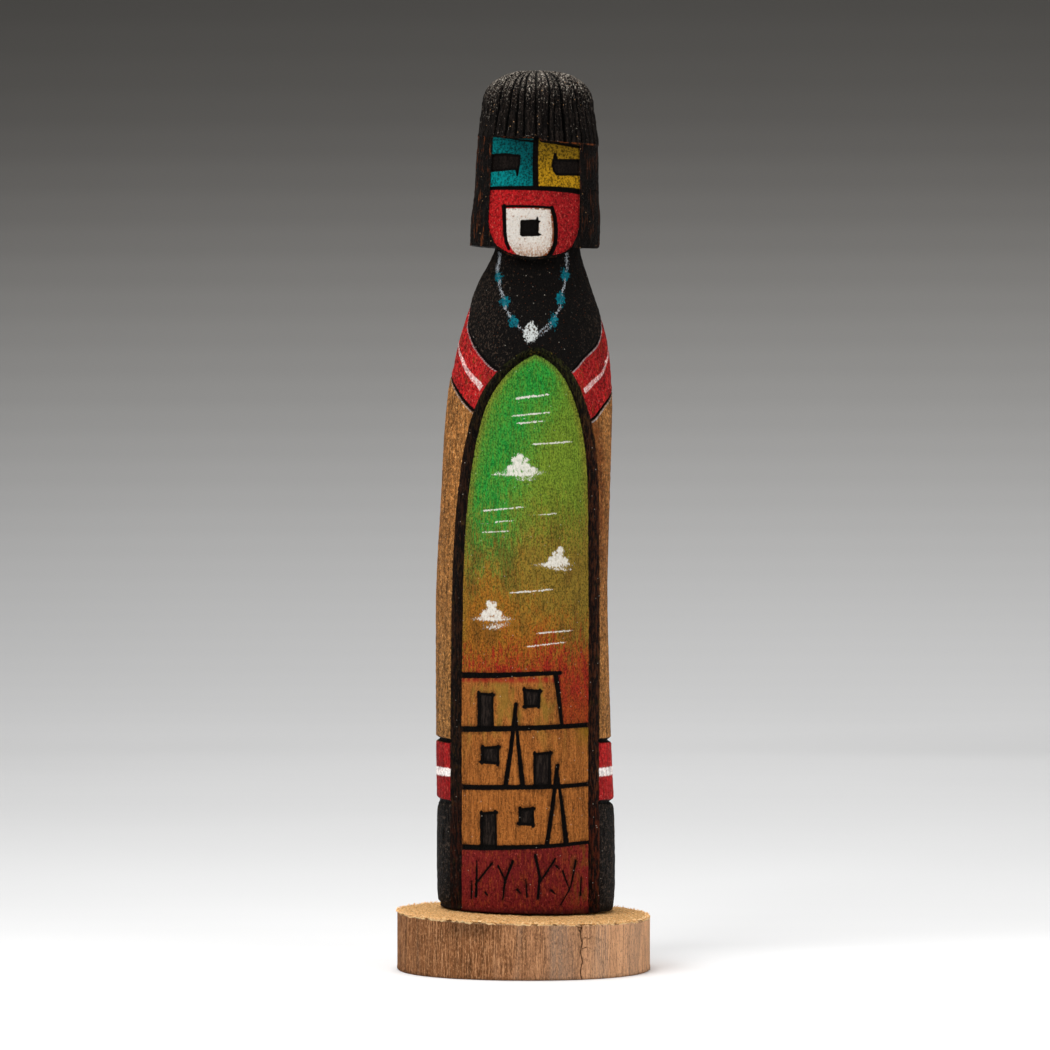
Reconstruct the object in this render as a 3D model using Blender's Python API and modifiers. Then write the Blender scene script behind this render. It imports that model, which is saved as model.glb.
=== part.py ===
"""A carved and painted doll of cottonwood root, standing on a sawn slice of the same wood.

Metres, +Z up. The doll faces -Y, and the origin is the middle of the slice's underside.
The doll is one piece of wood, shaped from a body, a cap of hair and a face that are joined,
and then cut with gouged lines. Heights on the doll are shares of its height above the slice,
from 0 at the foot to 1 at the crown, and breadths are shares of half the body's or head's width.
"""

import math

import bmesh
import bpy
from mathutils import Vector

MM = 0.001

# The slice of root under the doll. Its upper saw cut isn't quite level and falls towards +X.
SLICE_DIAMETER = 77.0 * MM
SLICE_THICKNESS = 16.9 * MM
SLICE_TOP_FALL = 1.8 * MM
SLICE_RIM_BEVEL = 0.4 * MM
SLICE_SIDES = 72
SLICE_DEEPENING = 0.012
SLICE_SQUARENESS = 0.010
SLICE_BULGE = 0.012
SLICE_BULGE_BEARING = math.radians(40.0)
CRACK_BEARING = math.radians(24.0)
CRACK_WIDTH = 0.7 * MM
CRACK_DEPTH = 1.4 * MM

# The doll as a whole
DOLL_HEIGHT = 250.0 * MM
DOLL_GAP = 0.3 * MM
DOLL_SET_BACK = 10.4 * MM
BODY_WIDTH = 53.1 * MM
BODY_FRONT = 24.9 * MM
BODY_BACK = 20.7 * MM
HEAD_WIDTH = 40.0 * MM
HEAD_FRONT = 18.6 * MM
HEAD_BACK = 18.6 * MM

# Depths and widths of the knife and gouge cuts
FACE_DEPTH = 1.9 * MM
LOCK_DEPTH = 0.4 * MM
FLUTE_DEPTH = 0.55 * MM
ARCH_CUT_DEPTH = 2.2 * MM
HEM_CUT_WIDTH = 1.2 * MM
HEM_CUT_DEPTH = 1.3 * MM
SEAM_CUT_WIDTH = 1.1 * MM
SEAM_CUT_DEPTH = 0.8 * MM
LINE_WIDTH = 1.3 * MM
LINE_DEPTH = 0.7 * MM
STROKE_WIDTH = 0.7 * MM
STROKE_DEPTH = 0.4 * MM
OPENING_DEPTH = 0.7 * MM

# Number of faces and flutes round each form
BODY_SIDES = 48
FLUTES = 40

# How far the middle of the bowed root wanders sideways, as shares of the doll's height
SWAY = (
    (0.00, 0.0028), (0.10, 0.0024), (0.20, 0.0000), (0.30, -0.0018), (0.37, -0.0025), (0.43, -0.0008),
    (0.49, 0.0018), (0.55, 0.0042), (0.61, 0.0073), (0.65, 0.0101), (0.70, 0.0118), (0.76, 0.0124),
    (0.80, 0.0136), (0.86, 0.0155), (0.92, 0.0167), (1.00, 0.0172),
)

# Height, then half width, front and back as shares of the body's own
BODY_FORM = (
    (0.000, 0.975, 0.975, 0.975), (0.020, 0.994, 0.995, 0.995), (0.055, 1.000, 1.000, 1.000),
    (0.120, 0.995, 1.000, 1.000), (0.200, 0.983, 1.000, 1.000), (0.300, 0.970, 1.000, 1.000),
    (0.400, 0.960, 0.995, 0.990), (0.490, 0.949, 0.980, 0.975), (0.550, 0.942, 0.965, 0.960),
    (0.605, 0.925, 0.935, 0.940), (0.629, 0.910, 0.915, 0.925), (0.653, 0.882, 0.880, 0.900),
    (0.677, 0.842, 0.840, 0.865), (0.701, 0.780, 0.780, 0.815), (0.725, 0.697, 0.705, 0.745),
    (0.749, 0.618, 0.630, 0.675), (0.772, 0.542, 0.560, 0.610), (0.790, 0.503, 0.525, 0.575),
    (0.840, 0.490, 0.510, 0.560),
)
BODY_LEVELS = (0.0, 0.008, 0.03, 0.07, 0.13, 0.21, 0.30, 0.38, 0.45, 0.51, 0.56, 0.60, 0.63, 0.655,
               0.677, 0.70, 0.725, 0.75, 0.772, 0.79, 0.84)

# Height, then half width as a share of the head's own
HAIR_FORM = (
    (0.788, 0.998), (0.820, 0.997), (0.844, 0.967), (0.868, 0.952), (0.892, 0.945),
    (0.9165, 0.925), (0.928, 0.895), (0.940, 0.880), (0.9515, 0.850),
)
HAIR_LEVELS = (0.788, 0.822, 0.85, 0.89, 0.9155)
CAP_LEVELS = (0.9175, 0.933, 0.9515)
DOME_RINGS = 6
DOME_SQUARENESS = 2.45
CROWN_REACH = math.radians(84.0)

# The face, its own lines leaning with the head
BANGS_AT = 0.9170
CHEEK_AT = 0.8107
CHIN_AT = 0.7693
EYE_LINE_AT = 0.8520
FACE_HALF = 0.690
FACE_SHIFT = -0.027
FACE_LEAN = math.radians(2.0)
FACE_OVERLAP = 0.2 * MM
FACE_CURVE_POINTS = 14

# Places on the face, as shares of half the head's width and of the doll's height
EYES = ((-0.674, -0.204, 0.8744, 0.8926), (0.255, 0.683, 0.8710, 0.8898))
EYE_DIVIDE = 0.015
MUZZLE_TOP = 0.8325
MUZZLE_LEFT = ((-0.459, 0.8325), (-0.460, 0.7965), (-0.414, 0.7806), (-0.360, 0.7680))
MUZZLE_RIGHT = ((0.304, 0.8325), (0.322, 0.8020), (0.290, 0.7870), (0.232, 0.7752), (0.170, 0.7650))
MOUTH = (-0.075, 0.142, 0.7973, 0.8174)

# The arched panel: the top of its black border, then of the panel inside, and how they widen
ARCH_AT = 0.6666
PANEL_AT = 0.6568
ARCH_HALF = 0.832
PANEL_HALF = 0.707
ARCH_SPREAD = 0.0466
ARCH_POWER = 0.8
ARCH_STATIONS = 22
ARCH_CROWDING = 2.2
ARCH_RUN_OUT = 0.02
ARCH_FLOOR = 0.8
PANEL_SWAY = (
    (0.010, 0.0016), (0.190, 0.0015), (0.310, 0.0022), (0.427, 0.0032), (0.510, 0.0061),
    (0.568, 0.0083), (0.604, 0.0093), (0.627, 0.0115), (0.650, 0.0138), (0.667, 0.0148),
)

# The shawl's black yoke and red border droop to the front, given at degrees from the front to +X
YOKE_LINE = (
    (-180.0, 0.735), (-90.0, 0.7014), (-62.8, 0.688), (-50.0, 0.6736), (-38.8, 0.6565), (-25.0, 0.640),
    (0.0, 0.622), (29.4, 0.639), (52.0, 0.665), (64.6, 0.681), (79.6, 0.703), (90.0, 0.713),
    (180.0, 0.735),
)
BORDER_LINE = (
    (-180.0, 0.650), (-90.0, 0.6346), (-70.1, 0.6231), (-59.4, 0.612), (-49.7, 0.6004), (-40.3, 0.5903),
    (0.0, 0.556), (50.3, 0.5819), (64.0, 0.5979), (90.0, 0.617), (180.0, 0.650),
)
HEM_CUTS = (0.2021, 0.1290)
BACK_STEP = math.radians(9.0)
LINE_RUN_IN = math.radians(1.5)

# The village on the panel: its storeys, openings and ladders, as height and share of half the panel
GROUND_AT = 0.0811
STOREYS = (0.1511, 0.2204, 0.2821)
TOP_STOREY_END = 0.56
WINDOWS = ((0.2440, 0.12), (0.1780, -0.55), (0.1060, 0.04))
WINDOW_WIDTH = 4.3 * MM
WINDOW_HEIGHT = 4.6 * MM
DOORS = ((0.2204, -0.62), (0.1511, 0.28), (0.0811, -0.58))
DOOR_WIDTH = 4.4 * MM
DOOR_HEIGHT = 9.6 * MM
LADDERS = ((0.1511, 0.2440, -0.12), (0.0811, 0.1730, 0.52))
LADDER_FOOT = 0.115
LADDER_HEAD = 0.035
TUFTS = ((0.028, -0.72, 0.030), (0.034, -0.20, 0.028), (0.024, 0.28, 0.032), (0.033, 0.76, 0.026))
TUFT_ROOT = 0.06
TUFT_SPREAD = 0.15
PANEL_REACH = 1.04
WALL_LEAN = 0.08

CUT_OVERSHOOT = 1.9
NORMAL_STEP = 0.05 * MM

half_body = BODY_WIDTH / 2
half_head = HEAD_WIDTH / 2
axis_y = DOLL_SET_BACK


def clear_scene():
    for thing in list(bpy.data.objects):
        bpy.data.objects.remove(thing, do_unlink=True)


def new_collection(name):
    collection = bpy.data.collections.new(name)
    bpy.context.scene.collection.children.link(collection)
    return collection


def wood(name, colour, roughness):
    material = bpy.data.materials.new(name)
    material.use_nodes = True
    shader = material.node_tree.nodes["Principled BSDF"]
    shader.inputs["Base Color"].default_value = (*colour, 1.0)
    shader.inputs["Roughness"].default_value = roughness
    shader.inputs["Metallic"].default_value = 0.0
    return material


def smooth_curve(knots, at):
    """The value at a place on a curve through (place, value) knots that never overshoots them."""
    if at <= knots[0][0]:
        return knots[0][1]
    if at >= knots[-1][0]:
        return knots[-1][1]
    slopes = [(b[1] - a[1]) / (b[0] - a[0]) for a, b in zip(knots, knots[1:])]

    def slope_at(i):
        if i in (0, len(knots) - 1) or slopes[i - 1] * slopes[i] <= 0:
            return 0.0 if 0 < i < len(knots) - 1 else slopes[min(i, len(slopes) - 1)]
        return 2 * slopes[i - 1] * slopes[i] / (slopes[i - 1] + slopes[i])

    i = max(k for k in range(len(knots) - 1) if knots[k][0] <= at)
    (x0, y0), (x1, y1) = knots[i][:2], knots[i + 1][:2]
    t = (at - x0) / (x1 - x0)
    rise = (slope_at(i) * (1 - t) ** 2 * t - slope_at(i + 1) * (1 - t) * t**2) * (x1 - x0)
    return y0 + (y1 - y0) * t * t * (3 - 2 * t) + rise


def slice_top(x):
    """Height of the slice's sawn top."""
    return SLICE_THICKNESS - SLICE_TOP_FALL * x / SLICE_DIAMETER


def height(share):
    """Height in space of a share of the doll's height, over the middle of the slice."""
    return SLICE_THICKNESS + share * DOLL_HEIGHT


def sway(share):
    return smooth_curve(SWAY, share) * DOLL_HEIGHT


def panel_middle(share):
    return smooth_curve(PANEL_SWAY, share) * DOLL_HEIGHT


def body_form(share):
    """Half width, front and back of the body at a height."""
    column = [smooth_curve([(row[0], row[k]) for row in BODY_FORM], share) for k in (1, 2, 3)]
    return column[0] * half_body, column[1] * BODY_FRONT, column[2] * BODY_BACK


def oval(angle, middle, half_width, front, back, z):
    """A point of an oval section. Angle 0 is the front, and a right angle is the +X side."""
    depth = front if math.cos(angle) > 0 else back
    return Vector((middle + half_width * math.sin(angle), axis_y - depth * math.cos(angle), z))


def around_body(angle, share):
    return oval(angle, sway(share), *body_form(share), height(share))


def front_of_body(x, share):
    """The point of the body's front straight behind a place in the front view."""
    half_width = body_form(share)[0]
    sine = max(-1.0, min(1.0, (x - sway(share)) / half_width))
    return around_body(math.asin(sine), share)


def hair_half(share):
    """Half the width of the hair at a height, with its domed crown."""
    dome_from, dome_half = HAIR_FORM[-1]
    if share <= dome_from:
        return smooth_curve(HAIR_FORM, share) * half_head
    rise = min(1.0, (share - dome_from) / (1 - dome_from))
    return dome_half * half_head * (1 - rise**DOME_SQUARENESS) ** (1 / DOME_SQUARENESS)


def around_hair(angle, share, sunk):
    half_width = hair_half(share)
    part = half_width / half_head
    shrink = 1 - sunk / max(half_width, sunk * 2)
    return oval(angle, sway(share), half_width * shrink, HEAD_FRONT * part * shrink,
                HEAD_BACK * part * shrink, height(share))


def front_of_face(x, share):
    """The sunken face behind a place in the front view."""
    half_width = hair_half(min(share, BANGS_AT))
    part = half_width / half_head
    sine = max(-1.0, min(1.0, (x - sway(share)) / half_width))
    return oval(math.asin(sine), sway(share), half_width, HEAD_FRONT * part - FACE_DEPTH,
                HEAD_BACK * part, height(share))


def face_place(across, share):
    """X and height share of a place on the face, given before the head's lean is put in."""
    dx = across * half_head
    dz = (share - EYE_LINE_AT) * DOLL_HEIGHT
    x = sway(EYE_LINE_AT) + FACE_SHIFT * half_head + dx * math.cos(FACE_LEAN) + dz * math.sin(FACE_LEAN)
    z = dz * math.cos(FACE_LEAN) - dx * math.sin(FACE_LEAN)
    return x, EYE_LINE_AT + z / DOLL_HEIGHT


def arch_half(share, apex, full_half):
    """Half the width of a pointed arch at a height."""
    drop = max(0.0, apex - share) / ARCH_SPREAD
    return full_half * half_body * (1 - math.exp(-(drop**ARCH_POWER)))


def finish_mesh(name, bm, collection):
    bmesh.ops.recalc_face_normals(bm, faces=bm.faces)
    mesh = bpy.data.meshes.new(name)
    bm.to_mesh(mesh)
    bm.free()
    made = bpy.data.objects.new(name, mesh)
    collection.objects.link(made)
    return made


def add_loft(bm, rings):
    """Skins rings of as many points each, closes both ends and leaves one closed form."""
    rows = [[bm.verts.new(point) for point in ring] for ring in rings]
    count = len(rows[0])
    for low, high in zip(rows, rows[1:]):
        for i in range(count):
            bm.faces.new((low[i], low[(i + 1) % count], high[(i + 1) % count], high[i]))
    bm.faces.new(rows[0][::-1])
    bm.faces.new(rows[-1])


def loft(name, rings, collection):
    bm = bmesh.new()
    add_loft(bm, rings)
    return finish_mesh(name, bm, collection)


def combine(target, tool, operation):
    """Joins a tool to the target, or cuts it away, and keeps the tool as a hidden wire."""
    tool.hide_render = True
    tool.display_type = "WIRE"
    modifier = target.modifiers.new(f"{operation.title()} {tool.name}", "BOOLEAN")
    modifier.operation = operation
    modifier.solver = "EXACT"
    modifier.object = tool


def steps(start, end, count):
    return [start + (end - start) * i / (count - 1) for i in range(count)]


def outward(surface, a, b):
    """The way out of a surface, from a function of two places that gives its points."""
    scale_a = NORMAL_STEP / max((surface(a + 1e-4, b) - surface(a - 1e-4, b)).length / 2e-4, 1e-9)
    scale_b = NORMAL_STEP / DOLL_HEIGHT
    along_a = surface(a + scale_a, b) - surface(a - scale_a, b)
    along_b = surface(a, b + scale_b) - surface(a, b - scale_b)
    return along_a.cross(along_b).normalized()


def gouge_section(floor, edges):
    """A V from its floor through two edges on the surface and on beyond it."""
    return [floor + (edge - floor) * CUT_OVERSHOOT for edge in edges] + [floor]


def add_gouge(bm, surface, places, width, depth):
    """A V-shaped cut along places on a surface, open above it."""
    points = [surface(*place) for place in places]
    last = len(points) - 1
    sections = []
    for i, place in enumerate(places):
        out = outward(surface, *place)
        travel = (points[min(i + 1, last)] - points[max(i - 1, 0)]).normalized()
        side = out.cross(travel).normalized() * width / 2
        edges = (points[i] + side, points[i] - side)
        sections.append(gouge_section(points[i] - out * depth, edges))
    add_loft(bm, sections)


def add_opening(bm, surface, corners, depth):
    """A flat-floored sinking with the outline of some places on a surface."""
    points = [surface(*place) for place in corners]
    middle = sum(points, Vector()) / len(points)
    out = outward(surface, *[sum(place[k] for place in corners) / len(corners) for k in (0, 1)])
    floor = [p - out * ((p - middle).dot(out) + depth) for p in points]
    top = [p + out * depth * CUT_OVERSHOOT for p in floor]
    add_loft(bm, [floor, [p + out * depth for p in top]])


def upright_outline(name, places, near, far, collection):
    """A flat outline in the front view, given as X and height share, as a solid from near to far in Y."""
    rings = [[Vector((x, y, height(share))) for x, share in places] for y in (near, far)]
    return loft(name, rings, collection)


def face_outline(grow, top):
    """Straight cheeks down from the top, and the round of the chin, leaning with the head."""
    half = FACE_HALF + grow / half_head
    drop = CHEEK_AT - CHIN_AT + grow / DOLL_HEIGHT
    round_off = [(half * math.cos(t), CHEEK_AT - drop * math.sin(t))
                 for t in steps(0.0, math.pi, FACE_CURVE_POINTS)]
    return [face_place(*place) for place in [(half, top), *round_off, (-half, top)]]


def make_body(collection):
    rings = []
    for share in BODY_LEVELS:
        ring = [around_body(2 * math.pi * i / BODY_SIDES, share) for i in range(BODY_SIDES)]
        if share == BODY_LEVELS[0]:
            for point in ring:
                point.z = slice_top(point.x) + DOLL_GAP
        rings.append(ring)
    return loft("carved_figure", rings, collection)


def hair_ring(share, lock_depth, front_flutes):
    """A ring of hair, fluted all round or only at the back, where the locks at the sides are plain."""
    ring = []
    for i in range(2 * FLUTES):
        angle = math.pi * i / FLUTES
        at_back = min(1.0, max(0.0, (-math.cos(angle) - 0.2) / 0.3))
        fluting = max(at_back, front_flutes)
        sunk = FLUTE_DEPTH * fluting * (i % 2) * min(1.0, 2.5 * hair_half(share) / half_head)
        ring.append(around_hair(angle, share, sunk + lock_depth * (1 - at_back)))
    return ring


def make_hair(collection):
    """The fringe and crown with flutes, plain locks at the sides and flutes again behind."""
    rings = [hair_ring(share, LOCK_DEPTH, 0.0) for share in HAIR_LEVELS]
    rings += [hair_ring(share, 0.0, 1.0) for share in CAP_LEVELS]
    dome_from = HAIR_FORM[-1][0]
    for i in range(1, DOME_RINGS + 1):
        rise = math.sin(i / DOME_RINGS * CROWN_REACH)
        rings.append(hair_ring(dome_from + (1 - dome_from) * rise, 0.0, 1.0))
    return loft("Hair", rings, collection)


def make_face(collection):
    """The flat face with its round chin, as deep as the head's middle."""
    front_y = axis_y - HEAD_FRONT * 1.5
    levels = steps(CHIN_AT - 0.012, BANGS_AT + 0.012, 6)
    rings = []
    for share in levels:
        half_width = hair_half(min(share, BANGS_AT))
        part = half_width / half_head
        rings.append([oval(2 * math.pi * i / BODY_SIDES, sway(share), half_width,
                           HEAD_FRONT * part - FACE_DEPTH, HEAD_BACK * part * 0.5, height(share))
                      for i in range(BODY_SIDES)])
    block = loft("Face", rings, collection)
    outline = upright_outline("Face_outline", face_outline(FACE_OVERLAP, BANGS_AT + 0.008),
                              front_y, axis_y, collection)
    combine(block, outline, "INTERSECT")
    window = upright_outline("Face_window", face_outline(0.0, BANGS_AT), front_y,
                             axis_y - HEAD_FRONT * 0.3, collection)
    return block, window


def arch_edge(share, side, apex, full_half):
    """X and height share of a pointed arch's edge, on the left (-1) or the right (1)."""
    return panel_middle(share) + side * arch_half(share, apex, full_half), share


def arch_cut(collection):
    """The wide black border of the panel: a slope from its outer edge to a steep inner wall."""
    sides = {}
    for side in (-1, 1):
        sides[side] = []
        for i in range(ARCH_STATIONS):
            drop = (i / (ARCH_STATIONS - 1)) ** ARCH_CROWDING
            outer_share = ARCH_AT - drop * (ARCH_AT + ARCH_RUN_OUT)
            inner_share = PANEL_AT - drop * (PANEL_AT + ARCH_RUN_OUT)
            outer = arch_edge(outer_share, side, ARCH_AT, ARCH_HALF)
            inner = arch_edge(inner_share, side, PANEL_AT, PANEL_HALF)
            low = [a + (b - a) * ARCH_FLOOR for a, b in zip(outer, inner)]
            floor = front_of_body(*low) - outward(front_of_body, *low) * ARCH_CUT_DEPTH
            edges = [front_of_body(*place) for place in (outer, inner)]
            sides[side].append(gouge_section(floor, edges))
    return loft("Arch_cut", sides[-1][::-1] + sides[1][1:], collection)


def arch_angle(share, side):
    """The angle round the body at which the arch's outer edge stands at a height."""
    x = arch_edge(share, side, ARCH_AT, ARCH_HALF)[0]
    sine = (x - sway(share)) / body_form(share)[0]
    return math.asin(max(-1.0, min(1.0, sine)))


def line_behind(surface_share):
    """Places round the back from one edge of the arch to the other, at heights from a function of angle."""
    start = math.radians(30.0)
    for _ in range(20):
        start = arch_angle(surface_share(start), 1)
    end = -start
    for _ in range(20):
        end = arch_angle(surface_share(end), -1)
    turn = 2 * math.pi + end - start + 2 * LINE_RUN_IN
    angles = steps(start - LINE_RUN_IN, start - LINE_RUN_IN + turn, max(8, round(turn / BACK_STEP)))
    return [(angle, surface_share(angle)) for angle in angles]


def from_front(angle):
    """How many degrees an angle lies from the front, on the +X side if it's positive."""
    return math.degrees(math.remainder(angle, 2 * math.pi))


def body_lines(collection):
    """The seams of the shawl and the cuts above and below the striped hem."""
    bm = bmesh.new()
    for line in (YOKE_LINE, BORDER_LINE):
        places = line_behind(lambda angle: smooth_curve(line, from_front(angle)))
        add_gouge(bm, around_body, places, SEAM_CUT_WIDTH, SEAM_CUT_DEPTH)
    for share in HEM_CUTS:
        add_gouge(bm, around_body, line_behind(lambda angle: share), HEM_CUT_WIDTH, HEM_CUT_DEPTH)
    return finish_mesh("Body_lines", bm, collection)


def panel_place(across, share):
    return panel_middle(share) + across * PANEL_HALF * half_body, share


def storey_lines(collection):
    """The level lines of the village, burned in right across the panel."""
    bm = bmesh.new()
    for share in (GROUND_AT, *STOREYS[:-1]):
        places = [panel_place(across, share) for across in steps(-PANEL_REACH, PANEL_REACH, 7)]
        add_gouge(bm, front_of_body, places, LINE_WIDTH, LINE_DEPTH)
    roof = [panel_place(across, STOREYS[-1]) for across in steps(-PANEL_REACH, TOP_STOREY_END, 6)]
    add_gouge(bm, front_of_body, roof, LINE_WIDTH, LINE_DEPTH)
    return finish_mesh("Storey_lines", bm, collection)


def upright_lines(collection):
    """The end wall of the top storey and the poles of the ladders."""
    bm = bmesh.new()
    corners = (TOP_STOREY_END, STOREYS[-1]), (TOP_STOREY_END + WALL_LEAN, STOREYS[-2])
    add_gouge(bm, front_of_body, [panel_place(*corner) for corner in corners], LINE_WIDTH, LINE_DEPTH)
    for foot, head, across in LADDERS:
        for side in (-1, 1):
            ends = (across + side * LADDER_FOOT, foot), (across + side * LADDER_HEAD, head)
            add_gouge(bm, front_of_body, [panel_place(*end) for end in ends], LINE_WIDTH, LINE_DEPTH)
    return finish_mesh("Upright_lines", bm, collection)


def grass(collection):
    """Tufts of three blades each, fanned out from the rough ground."""
    bm = bmesh.new()
    for share, across, rise in TUFTS:
        for side in (-1, 0, 1):
            root = panel_place(across + side * TUFT_ROOT, share)
            tip = panel_place(across + side * TUFT_SPREAD, share + rise)
            add_gouge(bm, front_of_body, [root, tip], STROKE_WIDTH, STROKE_DEPTH)
    return finish_mesh("Grass", bm, collection)


def rectangle(place, across, low, high, half_width):
    return [place(across + side * half_width, share)
            for side, share in ((-1, low), (1, low), (1, high), (-1, high))]


def village_openings(collection):
    bm = bmesh.new()
    panel_unit = PANEL_HALF * half_body
    for sill, across in WINDOWS:
        head = sill + WINDOW_HEIGHT / DOLL_HEIGHT
        corners = rectangle(panel_place, across, sill, head, WINDOW_WIDTH / 2 / panel_unit)
        add_opening(bm, front_of_body, corners, OPENING_DEPTH)
    for sill, across in DOORS:
        head = sill + DOOR_HEIGHT / DOLL_HEIGHT
        corners = rectangle(panel_place, across, sill, head, DOOR_WIDTH / 2 / panel_unit)
        add_opening(bm, front_of_body, corners, OPENING_DEPTH)
    return finish_mesh("Village_openings", bm, collection)


def level_face_lines(collection):
    """The line under the eyes and the line over the muzzle."""
    bm = bmesh.new()
    under = [face_place(across, EYE_LINE_AT) for across in steps(-FACE_HALF, FACE_HALF, 7)]
    add_gouge(bm, front_of_face, under, LINE_WIDTH, LINE_DEPTH)
    top = [face_place(across, MUZZLE_TOP) for across in steps(MUZZLE_LEFT[0][0], MUZZLE_RIGHT[0][0], 3)]
    add_gouge(bm, front_of_face, top, LINE_WIDTH, LINE_DEPTH)
    return finish_mesh("Level_face_lines", bm, collection)


def upright_face_lines(collection):
    """The line between the eyes and the two sides of the muzzle, down to the chin."""
    bm = bmesh.new()
    between = [(EYE_DIVIDE, share) for share in steps(EYE_LINE_AT, BANGS_AT, 3)]
    for line in (between, MUZZLE_LEFT, MUZZLE_RIGHT):
        add_gouge(bm, front_of_face, [face_place(*place) for place in line], LINE_WIDTH, LINE_DEPTH)
    return finish_mesh("Upright_face_lines", bm, collection)


def face_openings(collection):
    bm = bmesh.new()
    for left, right, low, high in EYES:
        corners = rectangle(face_place, (left + right) / 2, low, high, (right - left) / 2)
        add_opening(bm, front_of_face, corners, OPENING_DEPTH)
    middle, half_width, low, high = MOUTH
    add_opening(bm, front_of_face, rectangle(face_place, middle, low, high, half_width), OPENING_DEPTH)
    return finish_mesh("Face_openings", bm, collection)


def make_figure(parts, cutters):
    """The whole doll from one piece of wood: body, hair and face joined, then carved."""
    figure = make_body(parts)
    hair = make_hair(cutters)
    face, window = make_face(cutters)
    combine(hair, window, "DIFFERENCE")
    combine(figure, hair, "UNION")
    combine(figure, face, "UNION")
    carving = (arch_cut, body_lines, storey_lines, upright_lines, grass, village_openings,
               level_face_lines, upright_face_lines, face_openings)
    for cut in carving:
        combine(figure, cut(cutters), "DIFFERENCE")
    figure.data.materials.append(wood("Painted cottonwood", (0.30, 0.16, 0.08), 0.75))
    return figure


def slice_radius(bearing):
    """The slice isn't quite round. The bearing is from the front towards +X."""
    longer = SLICE_DEEPENING * math.cos(2 * bearing)
    squarer = -SLICE_SQUARENESS * math.cos(4 * bearing)
    bulge = SLICE_BULGE * math.cos(3 * (bearing - SLICE_BULGE_BEARING))
    return SLICE_DIAMETER / 2 * (1 + longer + squarer + bulge)


def slice_point(bearing, radius, z):
    return Vector((radius * math.sin(bearing), -radius * math.cos(bearing), z))


def slice_crack(collection):
    """A V down the whole side of the slice, where the wood split as it dried."""
    out = Vector((math.sin(CRACK_BEARING), -math.cos(CRACK_BEARING), 0.0))
    side = out.cross(Vector((0.0, 0.0, 1.0))) * CRACK_WIDTH / 2
    bm = bmesh.new()
    sections = []
    for level in (-0.1, 1.2):
        point = slice_point(CRACK_BEARING, slice_radius(CRACK_BEARING), level * SLICE_THICKNESS)
        sections.append(gouge_section(point - out * CRACK_DEPTH, (point + side, point - side)))
    add_loft(bm, sections)
    return finish_mesh("Crack", bm, collection)


def make_slice(parts, cutters):
    """A sawn disc of root, not quite round, with a worn rim and a drying crack in its side."""
    bm = bmesh.new()
    bmesh.ops.create_cone(bm, cap_ends=True, segments=SLICE_SIDES, radius1=1.0, radius2=1.0, depth=1.0)
    for vertex in bm.verts:
        bearing = math.atan2(vertex.co.x, -vertex.co.y)
        upper = vertex.co.z > 0
        vertex.co = slice_point(bearing, slice_radius(bearing), 0.0)
        vertex.co.z = slice_top(vertex.co.x) if upper else 0.0
    for axis in (0, 1):
        reach = [vertex.co[axis] for vertex in bm.verts]
        middle = (min(reach) + max(reach)) / 2
        for vertex in bm.verts:
            vertex.co[axis] -= middle
    disc = finish_mesh("base_slice", bm, parts)
    bevel = disc.modifiers.new("Worn rim", "BEVEL")
    bevel.width = SLICE_RIM_BEVEL
    bevel.segments = 1
    bevel.limit_method = "ANGLE"
    bevel.angle_limit = math.radians(60.0)
    combine(disc, slice_crack(cutters), "DIFFERENCE")
    disc.data.materials.append(wood("Bare cottonwood", (0.52, 0.34, 0.21), 0.85))
    return disc


def main():
    clear_scene()
    parts = new_collection("Kachina doll")
    cutters = new_collection("Cutters")
    make_slice(parts, cutters)
    figure = make_figure(parts, cutters)
    figure.data.shade_smooth()
    figure.data.set_sharp_from_angle(angle=math.radians(30.0))


main()
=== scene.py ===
"""The finished look of a carved and painted kachina doll on a sawn slice of cottonwood root.

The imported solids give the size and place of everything. The pieces made here have the knife work,
the burnt lines, the paint and the bare wood. Tables are in millimetres and degrees. A share is a
height on the doll, from 0 at the foot to 1 at the crown, and degrees go from the front to +X.
"""

import math

import bpy
import numpy as np
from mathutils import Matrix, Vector


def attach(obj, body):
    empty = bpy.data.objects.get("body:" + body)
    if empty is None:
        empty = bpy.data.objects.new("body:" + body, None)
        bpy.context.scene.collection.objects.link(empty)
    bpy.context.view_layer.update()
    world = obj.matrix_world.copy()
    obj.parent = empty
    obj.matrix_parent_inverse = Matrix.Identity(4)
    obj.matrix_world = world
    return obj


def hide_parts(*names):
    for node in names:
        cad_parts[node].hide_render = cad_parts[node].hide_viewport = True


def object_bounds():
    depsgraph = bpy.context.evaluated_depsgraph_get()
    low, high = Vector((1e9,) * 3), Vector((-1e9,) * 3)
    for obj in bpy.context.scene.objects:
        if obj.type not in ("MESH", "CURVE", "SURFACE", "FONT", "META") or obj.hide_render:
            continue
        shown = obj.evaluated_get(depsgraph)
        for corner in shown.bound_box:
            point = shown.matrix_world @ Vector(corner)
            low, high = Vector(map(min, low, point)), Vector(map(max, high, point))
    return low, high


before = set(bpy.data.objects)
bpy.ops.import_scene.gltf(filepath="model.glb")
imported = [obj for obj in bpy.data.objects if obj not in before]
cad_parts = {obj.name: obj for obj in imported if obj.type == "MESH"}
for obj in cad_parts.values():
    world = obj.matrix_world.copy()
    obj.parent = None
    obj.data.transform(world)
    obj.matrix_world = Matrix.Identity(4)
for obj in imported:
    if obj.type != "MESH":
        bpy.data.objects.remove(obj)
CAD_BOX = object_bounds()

bl_info = {
    "name": "Kachina Doll Workshop",
    "version": (1, 0, 0),
    "blender": (4, 5, 0),
    "location": "View3D > Sidebar > Kachina Doll",
    "description": "Carves, paints and stages a cottonwood kachina doll",
    "category": "Add Mesh",
}

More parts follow.
